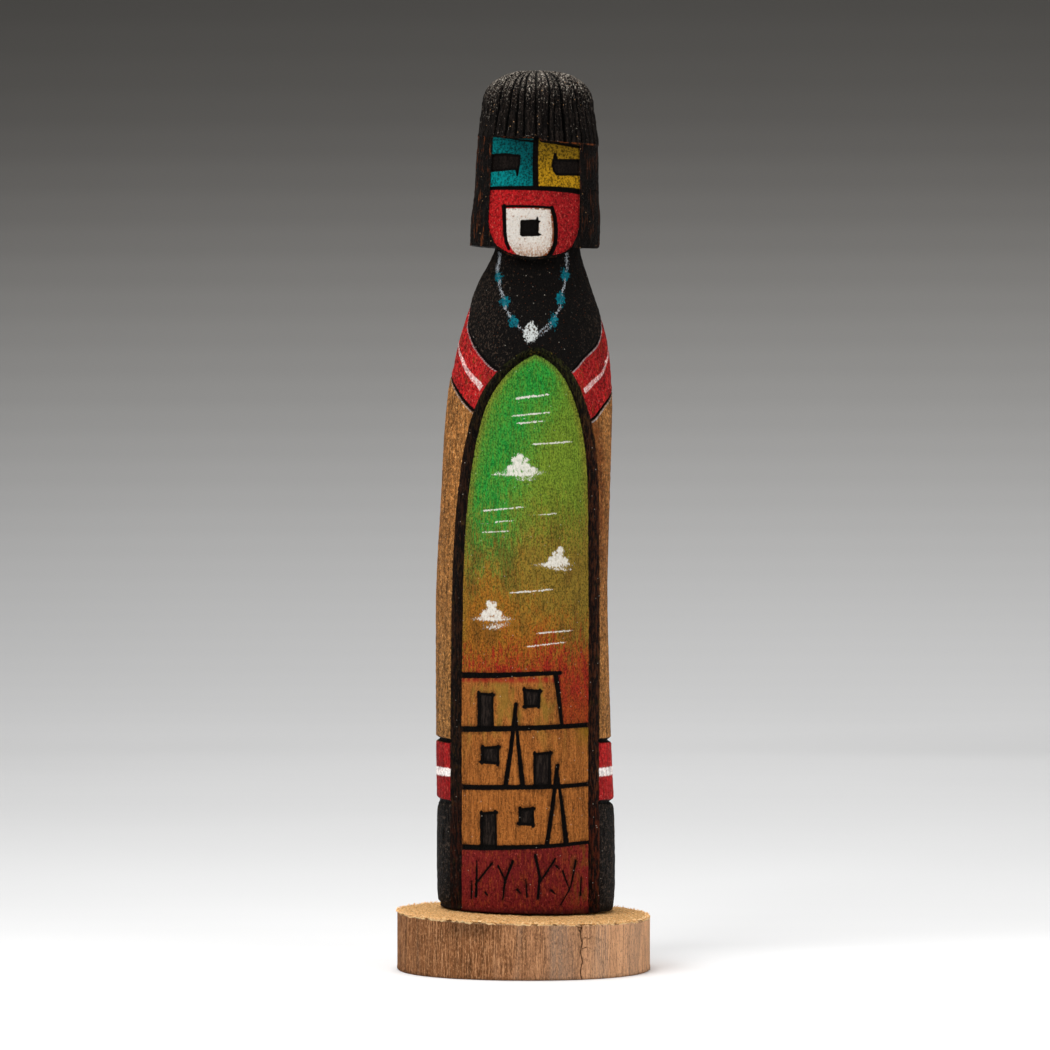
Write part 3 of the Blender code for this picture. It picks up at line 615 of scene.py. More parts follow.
def body_material(colours):
    coats = Coats("Painted_cottonwood", colours)
    field, noise = coats.field, coats.noise
    z, across, panel, burn = coats.along("Z"), field("across"), field("panel_in"), field("burnt")
    wobble = noise((0.8, 0.8, 1.2), 4.0, 0.65, 5.0) * 0.8 - 0.4
    speckle = noise((0.62, 0.62, 0.8), 3.0, 0.72, 21.0)
    grain = noise((0.56, 0.56, 3.2), 3.0, 0.68, 27.0)
    flecks = noise((0.56, 0.56, 1.0), 3.0, 0.70, 29.0)
    cloudy = noise((4.2, 4.2, 12.0), 3.0, 0.6, 31.0)
    smears = noise((1.5, 1.5, 5.0), 3.0, 0.65, 33.0)
    # Painted shade: the left side darkens on the hem, the skirt and the arch's border
    shaded_left = across.ramp(0.3, -1.2)
    from_stripe = abs(z - HEM_STRIPE)

    # The robe is bare wood, warmer at the shoulders and greyer towards the hem, with painted light low on its right
    robe, fibres, pores = wood_grain(coats, "robe_warm", "robe_dark", "robe_pale")
    beside_arch = field("arch_in").ramp(-3.6, -0.8) * across.ramp(0.2, 0.9) * z.ramp(92.0, 140.0, 1.0, 0.1)
    robe = coats.lay(
        robe,
        (z.ramp(150.0, 78.0, 0.85), (0.84, 0.93, 1.0)),
        (cloudy.ramp(0.50, 0.75, 0.6), 0.62),
        (smears.ramp(0.54, 0.74, 0.5), 0.60),
        (speckle.ramp(0.52, 0.60, 0.85), 0.50),
        (flecks.ramp(0.58, 0.65, 0.70), "robe_light"),
        (beside_arch * smears.ramp(0.34, 0.58, 0.85, 0.3), "rust_deep"),
        # Painted light: the robe's right side is lighter lower down
        (across.ramp(0.5, 1.1) * z.ramp(132.0, 96.0), (1.18, 1.15, 1.12)),
    )

    # The striped hem and the black skirt under it, with painted shade on their left and painted light on the hem's
    # right
    hem = coats.lay(
        "red",
        (cloudy.ramp(0.35, 0.70), "red_deep"),
        (grain.ramp(0.46, 0.62, 0.85), 0.50),
        (speckle.ramp(0.50, 0.60, 0.8), 0.55),
        (flecks.ramp(0.58, 0.64, 0.70), "red_worn"),
        (shaded_left * 0.9, 0.70),
        # Painted light: the hem's right side is lighter
        (across.ramp(0.5, 1.1), (1.18, 1.10, 1.10)),
    )
    hem_stripe = coats.lay("white_hem", (speckle.ramp(0.52, 0.64, 0.6), "pink"))
    skirt = coats.lay(
        "charcoal",
        (grain.ramp(0.44, 0.64, 0.9), "charcoal_pale"),
        (speckle.ramp(0.56, 0.62, 0.95), "ash_dark"),
        (flecks.ramp(0.50, 0.60, 0.9), 0.35),
        (shaded_left, 0.62),
    )

    # The shawl: red border, white stripe, black yoke, with painted shade on the red's right side
    shawl = coats.lay(
        "red",
        (cloudy.ramp(0.38, 0.66), "red_deep"),
        (speckle.ramp(0.50, 0.57, 0.95), 0.36),
        (flecks.ramp(0.58, 0.64, 0.62), "red_worn"),
        (smears.ramp(0.54, 0.68) * speckle.ramp(0.42, 0.56, 0.75, 0.1), "scorch"),
        # Painted shade: the red darkens on the right side
        (across.ramp(0.4, 1.2, 0.7), 0.72),
    )
    stripe = coats.lay("white", (speckle.ramp(0.40, 0.54, 0.95), "pink"), (flecks.ramp(0.56, 0.66, 0.7), "red"))
    gritty = speckle + abs(across - 0.15).ramp(0.25, 0.9) * 0.08 - 0.055
    yoke = coats.lay(
        "black",
        (cloudy.ramp(0.50, 0.78, 0.8), "charcoal"),
        (gritty.ramp(0.54, 0.66, 0.70), "ash"),
        (coats.cells(1.1, 4.0).ramp(0.11, 0.07, 0.6), "scorch"),
    )

    # Towards the sides the surface is seen slantwise, so the grain is drawn longer there, in streaks of painted
    # highlight and painted shade
    sides = abs(across).ramp(0.80, 1.15) * from_stripe.ramp(7.5, 9.5, 1.0, 0.55)
    skirt_sides = sides * z.ramp(SKIRT_TOP, SKIRT_TOP - 0.4)
    raked = noise((0.7, 3.2, 1.0), 3.0, 0.72, 43.0)
    combed = noise((0.9, 3.4, 10.0), 3.0, 0.66, 45.0)

    # The black border of the arch: soot over wood, green-black above and red-brown below, with painted shade on its
    # left and warmer painted light on its right
    smudge = smears.ramp(0.56, 0.70) * speckle.ramp(0.42, 0.58) * z.ramp(172.0, 184.0, 0.75, 0.1)
    soot = coats.lay(
        "soot_brown",
        (z.ramp(150.0, 182.0), "soot_green"),
        (z.ramp(64.0, 34.0, 0.7), "soot_red"),
        # Painted light, warmer, on the border's right side, and painted shade on its left
        (across.ramp(0.6, 1.1), (1.30, 1.0, 0.85)),
        (shaded_left, 0.58),
        (grain.ramp(0.62, 0.44, 0.95), "black"),
        (flecks.ramp(0.60, 0.70, 0.5), "ash"),
        (smudge, "olive_brown"),
    )

    # The sky inside it, dabbed with a nearly dry brush so that the coats mix in fine grains
    level = z + (grain - 0.5) * 44.0 + (speckle - 0.5) * 26.0 + (cloudy - 0.5) * 22.0
    warm = level - across * 3.0
    lean = across + z.ramp(184.0, 138.0, 0.60, -0.08) + speckle - 0.5
    green = abs(lean).ramp(0.78, 0.10) * level.ramp(110.0, 138.0) * grain.ramp(0.34, 0.58, 1.0, 0.6)
    fine = noise((0.4, 0.4, 0.62), 2.0, 0.66, 41.0)
    dry = fine * 1.7 - 0.9
    mark = field("white_marks") + dry * 1.1
    streak = field("streak_half") + 0.1 - abs(field("streak_off") + wobble * 0.7) + dry * 0.8
    sky = coats.lay(
        "green_olive",
        (level.ramp(186.0, 150.0), "olive"),
        (level.ramp(143.0, 120.0), "olive_brown"),
        ((level + across * 9.0).ramp(117.0, 96.0, 0.92), "ochre"),
        (green * cloudy.ramp(0.20, 0.50, 0.95, 0.45), "green"),
        (panel.ramp(2.4, 0.1, 0.46), "olive_brown"),
        (cloudy.ramp(0.48, 0.66) * z.ramp(150.0, 118.0, 0.55, 0.12), "umber"),
        (warm.ramp(102.0, 84.0, 0.62), "orange"),
        (warm.ramp(98.0, 86.0) * smears.ramp(0.36, 0.60, 0.9, 0.35), "sunset"),
        (z.ramp(84.0, 76.0) * grain.ramp(0.36, 0.58, 0.8, 0.3), "orange"),
        (fine.ramp(0.50, 0.60, 0.90), 0.40),
        (speckle.ramp(0.54, 0.66, 0.60), 0.55),
        (fibres.ramp(0.50, 0.62, 0.55), 0.55),
        (fine.ramp(0.46, 0.38, 0.7), (1.45, 1.30, 1.20)),
        (mark.ramp(-0.16, 0.24) * flecks.ramp(0.48, 0.60, 0.66, 0.95), "cloud"),
        (streak.ramp(-0.04, 0.16, 0.85), "cloud"),
    )

    # The village's plaster is bare wood, and it stands on red earth
    yellowed = z.ramp(64.0, 71.0) * (across + speckle * 0.5).ramp(0.95, 1.2, 0.7)
    plaster = coats.lay(
        wood_grain(coats, "plaster", "plaster_dark", "plaster_pale")[0],
        (cloudy.ramp(0.48, 0.64) * z.ramp(58.0, 78.0, 0.55), "olive_brown"),
        (smears.ramp(0.56, 0.70, 0.55), 0.50),
        (yellowed, "yellow_deep"),
        (abs(z - UNDER_ROOF).ramp(1.3, 0.2, 0.8) * smears.ramp(0.34, 0.58, 1.0, 0.25), "sunset"),
    )
    ground = coats.lay(
        "ground",
        (across.ramp(-0.9, 0.2), "ground_deep"),
        (across.ramp(0.2, 1.0), "ground"),
        (grain.ramp(0.50, 0.64, 0.6), "rust"),
        (across.ramp(0.45, 0.95) * smears.ramp(0.44, 0.60), "scorch"),
        (speckle.ramp(0.49, 0.62, 0.9), 0.46),
        (flecks.ramp(0.61, 0.72, 0.6), "red_worn"),
    )
    picture = coats.lay(
        sky,
        (field("village").ramp(-0.1, 0.1), plaster),
        ((across * 0.75 + EARTH_LINE - z).edge(wobble), ground),
    )

    # Openings and the necklace
    opening = coats.lay("eye", (grain.ramp(0.44, 0.62, 0.8), "charcoal_pale"))
    dab = noise((0.75, 0.75, 0.9), 3.0, 0.65, 51.0)
    bead = coats.lay("bead_pale", (speckle.ramp(0.42, 0.58), "bead"))
    pendant = coats.lay("thread_pale", (speckle.ramp(0.48, 0.60), "ash"))

    colour = coats.lay(
        robe,
        ((HEM_TOP - z).edge(wobble), hem),
        ((1.22 - from_stripe).edge(wobble * 1.6, soft=0.25) * 0.97, hem_stripe),
        ((SKIRT_TOP - z).edge(wobble), skirt),
        (field("border_up").edge(wobble * 0.3), shawl),
        ((field("stripe") + wobble * 0.8).ramp(-0.20, 0.16, 0.95), stripe),
        (field("yoke_up").edge(wobble * 0.3), yoke),
        (field("seam").ramp(0.05, 0.35), "black"),
        # Painted highlight: a pale line along the lower edge of each seam
        (field("seam_rim").ramp(0.02, 0.22, 0.85) * flecks.ramp(0.40, 0.54, 1.0, 0.25), "seam_highlight"),
        # Painted highlight and painted shade: grain streaks on both sides of the body, where the light grazes
        (sides * raked.ramp(0.51, 0.60, 0.80), 0.52),
        (sides * raked.ramp(0.50, 0.41), (1.50, 1.46, 1.42)),
        (sides * combed.ramp(0.53, 0.62, 0.7), 0.60),
        (sides * combed.ramp(0.48, 0.38, 0.8), (1.30, 1.28, 1.24)),
        (skirt_sides * raked.ramp(0.46, 0.54), 0.50),
        (skirt_sides * raked.ramp(0.42, 0.36, 0.5), "ash_dark"),
        (field("arch_in").edge(wobble * 0.5), soot),
        (panel.edge(wobble * 0.4), picture),
        # Painted shade: black in the deepest part of the arch's border, next to the panel
        (field("arch_groove_shade").ramp(0.35, 0.85), "black"),
        (field("openings").ramp(-0.05, 0.12), opening),
        (burn.ramp(-1.1, 0.0, 0.75) * smears.ramp(0.38, 0.62), 0.32),
        (burn.edge(wobble * 0.6, soft=0.1), "black"),
        ((field("thread") + dry * 1.5).ramp(-0.10, 0.16, 0.92), "thread"),
        ((field("beads") + dab * 4.4 - 2.2).ramp(-0.14, 0.30, 0.95), bead),
        ((field("pendant") + dab * 3.0 - 1.4).ramp(-0.14, 0.30, 0.95), pendant),
        (coats.cells(2.4, 6.0).ramp(0.075, 0.045, 0.5), "dust_and_sheen"),
        # Painted shade: the foot darkens almost to black where it meets the slice
        (z.ramp(17.2, 19.5, 0.0, 0.8), 0.15),
    )
    bumps = ((fibres, 0.36), (pores, -0.34), (speckle, 0.46), (grain, 0.36), (flecks, -0.26), (smears, 0.30))
    return coats.finish(colour, speckle.ramp(0.35, 0.75, 0.85, 0.55), bumps, 0.05)


def head_material(colours):
    coats = Coats("Painted_mask_and_hair", colours)
    field, noise = coats.field, coats.noise
    u, v, fringe = field("face_u"), field("face_v"), field("fringe")
    white, eyes, mouth, lines = field("muzzle"), field("eyes"), field("mouth"), field("face_lines")
    speckle = noise((0.54, 0.54, 0.66), 3.0, 0.72, 61.0)
    leather = noise((0.66, 0.66, 0.72), 3.0, 0.72, 67.0)
    flecks = noise((0.42, 0.42, 0.9), 3.0, 0.68, 69.0)
    streak = noise((0.55, 0.55, 8.0), 4.0, 0.68, 71.0)
    cloudy = noise((3.4, 3.4, 6.0), 3.0, 0.6, 73.0)
    patches = noise((2.6, 2.6, 2.6), 3.0, 0.7, 75.0)
    wobble = noise((0.7, 0.7, 0.7), 4.0, 0.65, 77.0) * 0.6 - 0.3
    chips = coats.cells(2.2, 15.0)

    # Hair: burnt black-brown with pale grit and dust, thickened towards the crown by painted highlight
    crown = coats.along("Z").ramp(250.0, 268.0)
    grit_and_sheen = speckle + crown * 0.16 - 0.07
    full_hair = coats.lay(
        "black",
        (streak.ramp(0.42, 0.64, 0.85), "hair_brown"),
        (grit_and_sheen.ramp(0.52, 0.64, 0.9), "ash"),
        (grit_and_sheen.ramp(0.58, 0.68, 0.95), "grit_and_sheen"),
        ((flecks + crown * 0.11 - 0.09).ramp(0.57, 0.65, 0.95), "dust_and_sheen"),
        ((leather - crown * 0.03).ramp(0.50, 0.60, 0.9), 0.15),
    )
    scorched = streak.ramp(0.50, 0.62) * cloudy.ramp(0.46, 0.58) * u.ramp(-12.0, 12.0, 0.25, 0.95)
    lock = coats.lay(
        "black",
        (streak.ramp(0.46, 0.70, 0.7), "hair_brown"),
        (scorched, "scorch"),
        (coats.cells(0.62, 9.0).ramp(0.10, 0.07, 0.6), "grit_and_sheen"),
    )
    fringe_lip = abs(fringe - 0.05).ramp(0.30, 0.08) * u.ramp(0.5, 1.5, 0.9) * patches.ramp(0.42, 0.56)
    hair = coats.lay(
        lock,
        (fringe.ramp(0.0, 0.2), full_hair),
        # Painted shade: the hair's flutes darken almost to black
        (field("flutes").ramp(0.10, 0.42, 0.97), 0.08),
        (fringe_lip, "scorch"),
        (chips.ramp(0.085, 0.060, 0.9), "chip"),
    )

    # Mask: turquoise and yellow over red, with a white muzzle. Painted shade darkens the turquoise and the yellow
    # towards the fringe above them, and the red towards its right side
    rise = v + (leather - 0.5) * 9.0
    turquoise = coats.lay(
        "turquoise", ((u + rise).ramp(-9.0, 9.0), "turquoise_deep"), (leather.ramp(0.50, 0.57, 0.95), 0.30))
    yellow = coats.lay("yellow", (rise.ramp(2.0, 12.0), "yellow_deep"), (leather.ramp(0.50, 0.56, 0.95), 0.28))
    red = coats.lay(
        "mask_red",
        (u.ramp(-12.0, 13.0), "mask_red_deep"),
        (leather.ramp(0.49, 0.57, 0.95), 0.42),
        (cloudy.ramp(0.46, 0.62) * v.ramp(-3.0, 0.0, 0.9, 0.35), 0.62),
        (flecks.ramp(0.58, 0.68, 0.70), "red_worn"),
    )
    # The muzzle turns peach at its bottom and right side: worn white, and painted shade where it turns from the light
    worn_and_shaded = v.ramp(-14.0, -20.0, 0.95) + u.ramp(2.5, 6.0, 0.6)
    muzzle = coats.lay(
        "muzzle",
        (leather.ramp(0.55, 0.65, 0.7), "muzzle_peach"),
        (worn_and_shaded * speckle.ramp(0.38, 0.60), "muzzle_peach"),
        (v.ramp(-15.5, -20.5, 0.6) * flecks.ramp(0.50, 0.60), "scorch"),
        (speckle.ramp(0.58, 0.68, 0.7), 0.50),
        (chips.ramp(0.16, 0.10, 0.6), "scorch"),
    )
    rusty = (speckle + u.ramp(-4.0, 6.0, 0.12, -0.03)).ramp(0.50, 0.60)
    pupil = coats.lay(
        "eye",
        (streak.ramp(0.45, 0.65, 0.4), "charcoal_pale"),
        (speckle.ramp(0.48, 0.60, 0.9), 0.4),
        (eyes.ramp(1.1, 0.5), "black"),
    )
    mask = coats.lay(
        turquoise,
        (u.ramp(0.0, 0.3), yellow),
        (speckle.ramp(0.52, 0.60, 0.7), 0.45),
        (v.ramp(0.55, 0.35), red),
        (white.edge(wobble * 0.7), muzzle),
        (white.ramp(0.75, 0.10) * white.ramp(-0.35, -0.05) * rusty, "scorch"),
        (eyes.edge(wobble * 0.7), pupil),
        (mouth.edge(wobble * 0.8), coats.lay("black", (mouth.ramp(0.5, 1.4), "charcoal"))),
        (lines.edge(wobble * 0.8), "black"),
    )
    colour = coats.lay(
        hair,
        (field("face_in").edge(wobble * 0.5, at=0.35), mask),
        (lines.ramp(0.0, 0.1), "black"),
        (field("under").ramp(0.2, 0.8), "black"),
    )
    bumps = ((leather, 0.62), (speckle, 0.50), (streak, 0.40), (flecks, 0.26))
    return coats.finish(colour, speckle.ramp(0.35, 0.75, 0.85, 0.5), bumps, 0.04)


def slice_material(colours):
    coats = Coats("Sawn_root", colours)
    noise = coats.noise
    x, z, up = coats.along("X"), coats.along("Z"), coats.field("top_in")
    streaks = noise((1.5, 1.5, 40.0), 4.0, 0.68, 81.0)
    fibres = noise((0.36, 0.36, 8.0), 3.0, 0.66, 83.0)
    broad = noise((9.0, 9.0, 60.0), 2.0, 0.5, 87.0)
    saw = noise((0.5, 3.2, 0.5), 4.0, 0.72, 89.0)
    pulp = noise((0.62, 0.62, 0.62), 3.0, 0.72, 91.0)
    nap = noise((0.38, 0.38, 0.95), 3.0, 0.68, 92.0)
    dug = noise((0.9, 0.9, 0.9), 3.0, 0.7, 93.0)
    drift = x + (broad - 0.5) * 50.0
    shade_under_rim = (z + streaks * 6.0).ramp(13.0, 17.5, 0.85)
    side = coats.lay(
        "bark_side",
        (drift.ramp(-14.0, 40.0), "bark_side_pink"),
        (streaks.ramp(0.50, 0.66) * drift.ramp(10.0, -26.0, 0.85, 0.35), "bark_dark"),
        (fibres.ramp(0.47, 0.36, 0.5), "side_pale"),
        (fibres.ramp(0.50, 0.60, 0.85), 0.54),
        (broad.ramp(0.52, 0.66) * fibres.ramp(0.40, 0.56, 0.6, 0.2), "bark_grey"),
        (abs(x - 10.5).ramp(6.5, 1.5, 0.7) * streaks.ramp(0.36, 0.58, 1.0, 0.3), "bark_grey"),
        (nap.ramp(0.52, 0.64, 0.85), 0.50),
        (nap.ramp(0.46, 0.36, 0.45), "side_pale"),
        # Painted shade: a dark patch just under the rim, left of the middle
        (abs(x + 15.5).ramp(9.5, 3.0) * shade_under_rim, 0.50),
    )
    # The sawn top, with painted shade in its pits
    top = coats.lay(
        "saw_pale",
        (saw.ramp(0.40, 0.62), "saw_tan"),
        (pulp.ramp(0.52, 0.60, 0.72), 0.46),
        (dug.ramp(0.56, 0.66, 0.75), "pit_shade"),
        (pulp.ramp(0.47, 0.38, 0.8), "torn_wood_and_highlight"),
    )
    torn = pulp * 2.4 - 1.2
    chipped = coats.field("chips") + pulp * 1.2 - 0.6
    colour = coats.lay(
        side,
        ((up + torn).ramp(-0.9, 0.1), top),
        # A pale line along the top's edge: torn fibres, with painted highlight
        (up.ramp(-1.3, -0.2) * up.ramp(0.4, 0.1, 0.75) * pulp.ramp(0.40, 0.54), "torn_wood_and_highlight"),
        # Painted shade inside the drying crack
        ((coats.field("crack") + torn * 0.26).ramp(-0.10, 0.14, 0.85), "crack"),
        # Painted shade in the rim's chips, darkest in the deepest chips on the side
        (chipped.ramp(0.15, 0.45, 0.85), "pit_shade"),
        (chipped.ramp(0.5, 0.9, 0.9) * up.ramp(0.3, 0.0), "crack"),
        # Painted shade: the side darkens at its foot, next to the floor
        (z.ramp(1.4, 0.0, 0.6), 0.45),
    )
    tear = (saw + pulp) * up.ramp(-0.4, 0.6)
    bumps = ((fibres, 0.50), (streaks, 0.50), (tear, 0.45), (pulp, 0.30))
    return coats.finish(colour, fibres.ramp(0.35, 0.70, 0.95, 0.78), bumps, 0.06)


def fibre_material(colours):
    coats = Coats("Frayed_fibre", colours)
    tone = coats.noise((1.2, 1.2, 1.2), 3.0, 0.6, 95.0)
    fine = coats.noise((0.12, 0.12, 0.5), 2.0, 0.6, 97.0)
    colour = coats.lay("torn_wood_and_highlight", (tone.ramp(0.35, 0.66), "saw_tan"))
    return coats.finish(colour, tone.ramp(0.3, 0.7, 0.95, 0.75), ((fine, 0.05),), 0.15)


# ---------------------------------------------------------------- forms


def height_of(share):
    return SLICE_THICK + share * DOLL_TALL


def share_of(z):
    return (z - SLICE_THICK) / DOLL_TALL


def slice_top(x):
    return SLICE_THICK - TOP_FALL * x / SLICE_WIDE


def oval_grid(angle, middle, half, front, back, z):
    """Points of oval sections, with the angle from the front to +X in radians."""
    depth = np.where(np.cos(angle) > 0, front, back)
    return np.stack([middle + half * np.sin(angle), AXIS_Y - depth * np.cos(angle), z], axis=-1)


def arch_outline(apex, full):
    """The pointed arch from its left foot over the apex to its right foot."""
    drop = np.linspace(0.0, 1.0, 60) ** 2.2 * (apex + 0.03)
    half = full * (1 - np.exp(-((drop / ARCH_SPREAD) ** ARCH_POWER)))
    share = apex - drop
    left, right = (np.stack([curve(PANEL_SWAY, share) + x, height_of(share)], axis=-1) for x in (-half, half))
    return np.vstack([left[::-1], right[1:]])


def line_offset(z, angle, radius, line):
    """How far places lie above a line that droops round the body."""
    rise = (curve(line, angle + 0.5) - curve(line, angle - 0.5)) * DOLL_TALL
    return (z - height_of(curve(line, angle))) / np.hypot(1.0, rise / (np.radians(1.0) * radius))


def carve_body(sizes):
    """The grid of the body with its knife work, and the fields that its paint follows."""
    degrees = columns_of(
        (-100, -62, 32), (-62, -45, 22), (-45, 45, 130), (45, 62, 22), (62, 100, 32), (100, 260, 28))
    levels = rows_of(
        (SLICE_THICK, 20, 0.4), (20, 89, 0.43), (89, 158, 0.85), (158, 190, 0.5), (190, 214, 0.62), (214, 226, 2.4))
    z, turn = np.meshgrid(levels, degrees, indexing="ij")
    angle = np.radians(turn)
    share = share_of(z)
    sizes_at = enumerate((HALF_BODY, BODY_FRONT, BODY_BACK), 1)
    half, front, back = (curve(BODY_FORM, share, column) * size for column, size in sizes_at)
    slim = NECK_SLIMMED * ease(share, 0.735, 0.79)
    half = half - slim
    grid = oval_grid(angle, curve(SWAY, share) + slim, half, front, back, z)
    x = grid[..., 0]
    at_front = np.cos(angle) > 0.02
    seen = np.where(at_front, x, OFF_FRONT), z

    arch, panel = (np.where(at_front, outline_field(*seen, arch_outline(*size)), OUTSIDE)
                   for size in ((ARCH_TOP, ARCH_HALF), (PANEL_TOP, PANEL_HALF)))
    yoke, border, off_stripe = (
        line_offset(z, turn, (half + front) / 2, line) for line in (YOKE_LINE, BORDER_LINE, STRIPE_LINE))
    stripe = np.where(arch > -0.7, OUTSIDE, curve(STRIPE_HALF, np.abs(turn)) - np.abs(off_stripe))
    openings = np.full(x.shape, OUTSIDE)
    frames = []
    for (left, right, low, high), slips in WINDOWS + DOORS:
        corners = np.array([(left, low), (right, low), (right, high), (left, high)]) + np.reshape(slips, (4, 2))
        openings = np.maximum(openings, outline_field(*seen, corners))
        for k, (a, b) in enumerate(zip(corners, np.roll(corners, -1, 0))):
            over = (b - a) / np.linalg.norm(b - a)
            frames.append(((a - over * 0.45, b + over * (0.25 + 0.2 * (k % 2))), 0.50, 0.36))
    lines = np.where(panel > -0.35, stroke_field(*seen, STOREY_STROKES), OUTSIDE)
    poles, tufts, frame_lines = (stroke_field(*seen, strokes) for strokes in (POLES, TUFTS, frames))
    streak_off, streak_half = streak_fields(*seen)
    beads, pendant = dab_field(*seen, BEADS), dab_field(*seen, PENDANT)
    wall = np.where(z > TOP_STOREY, np.interp(z, *TOP_WALL) - x, -OUTSIDE)

    # Cuts, as depths in millimetres
    on_border = (arch > 0) & (panel < 0)
    from_edge = np.clip(arch, 0, None)
    band = from_edge / np.maximum(from_edge + np.clip(-panel, 0, None), 1e-6)
    depth = sizes.arch_depth * np.minimum(band / 0.78, 1.0) * (1 - ease(band, 0.84, 1.0)) * on_border
    depth += 0.30 * ease(panel, 0.0, 0.4)
    off_arch = ease(-arch, -0.4, 0.4)
    seam = np.maximum(1 - np.abs(yoke) / 0.62, 1 - np.abs(border) / 0.55).clip(0, 1) * off_arch
    depth += sizes.seam_depth * seam
    depth += 0.35 * ease(-yoke, 0.0, 0.8) * (border > 0) * off_arch * ease(border, -0.1, 2.5)
    notch = np.zeros(x.shape)
    for cut, deep in HEM_CUTS:
        notch = np.maximum(notch, deep * np.clip(1 - np.abs(z - cut - 0.25 * np.sin(angle * 3)) / 0.85, 0, 1))
    notch *= off_arch
    depth += sizes.hem_depth * notch
    below_cut = cut - z
    depth += 0.5 * np.exp(-np.clip(np.abs(below_cut - 0.8) - 0.4, 0, None) / 0.9) * (below_cut > 0) * off_arch
    depth += sizes.line_depth * np.maximum(groove(lines, 0.12, 0.7), groove(poles, 0.1, 0.6))
    depth += 0.45 * groove(tufts, 0.1, 0.4) + 0.5 * groove(frame_lines, 0.1, 0.5)
    depth += sizes.opening_depth * ease(openings, -0.1, 0.35)
    depth -= 0.10 * ease(beads, -0.1, 0.5) + 0.12 * ease(pendant, -0.1, 0.6)
    depth += 0.9 * ease(slice_top(x) - z, -1.6, 0.2) * ease(-arch, -0.2, 0.6)
    facets = lumps(grid, (7.0, 7.0, 46.0), 11) * 0.16 + lumps(grid, (2.6, 2.6, 15.0), 12) * 0.05
    nicks = np.clip(lumps(grid, (3.0, 3.0, 5.0), 13) - 0.55, 0, 1) * (np.abs(turn) > 55)
    depth += facets + nicks * off_arch + lumps(grid, (0.8, 0.8, 1.2), 14) * 0.09
    shaped = grid - outward(grid) * (depth * (0.4 + 0.6 * ease(z, 17.0, 18.5)))[..., None]
    lift = slice_top(shaped[..., 0]) + GAP_UNDER_DOLL - SLICE_THICK
    shaped[..., 2] += lift * (1 - ease(z, SLICE_THICK, 22.0))
    return shaped, {
        "arch_in": arch, "arch_groove_shade": ease(band, 0.70, 0.84) * on_border, "panel_in": panel,
        "across": np.clip((x - curve(PANEL_SWAY, share)) / PANEL_HALF, -1.5, 1.5),
        "yoke_up": yoke, "border_up": border, "stripe": stripe,
        "seam": np.maximum(seam, notch),
        "seam_rim": (0.4 - np.minimum(np.abs(yoke + 0.70), np.abs(border + 0.72)) / 0.8) * off_arch,
        "openings": openings, "burnt": np.maximum.reduce([lines, poles, tufts, frame_lines]),
        "village": np.minimum.reduce([ROOF - z, z - VILLAGE_FOOT, wall]),
        "white_marks": dab_field(*seen, CLOUD_DABS), "streak_off": streak_off, "streak_half": streak_half,
        "thread": stroke_field(*seen, THREADS), "beads": beads, "pendant": pendant,
    }


def hair_grid(z, angle):
    """The plain form of the head at the given heights, and half its width there."""
    share = share_of(z)
    rise = np.clip((share - DOME_FROM) / (1 - DOME_FROM), 0, 1)
    dome = HAIR_FORM[-1][1] * (1 - rise**DOME_SQUARENESS) ** (1 / DOME_SQUARENESS)
    size = np.where(share <= DOME_FROM, curve(HAIR_FORM, share), dome)
    half, deep = size * HALF_HEAD, size * HEAD_DEEP
    return oval_grid(angle, curve(SWAY, share), half, deep, deep, z), half


def turned(across, up, degrees):
    """Places turned about the middle of the line under the eyes."""
    lean = math.radians(degrees)
    return across * math.cos(lean) - up * math.sin(lean), across * math.sin(lean) + up * math.cos(lean)


def back_flutes():
    """The flutes of the back hair, a little uneven."""
    rng = np.random.default_rng(5)
    angles = wrapped(np.linspace(86, 274, 23) + rng.uniform(-1.6, 1.6, 23))
    return tuple((a, a + rng.uniform(-2, 2), rng.uniform(0.35, 0.7)) for a in angles)


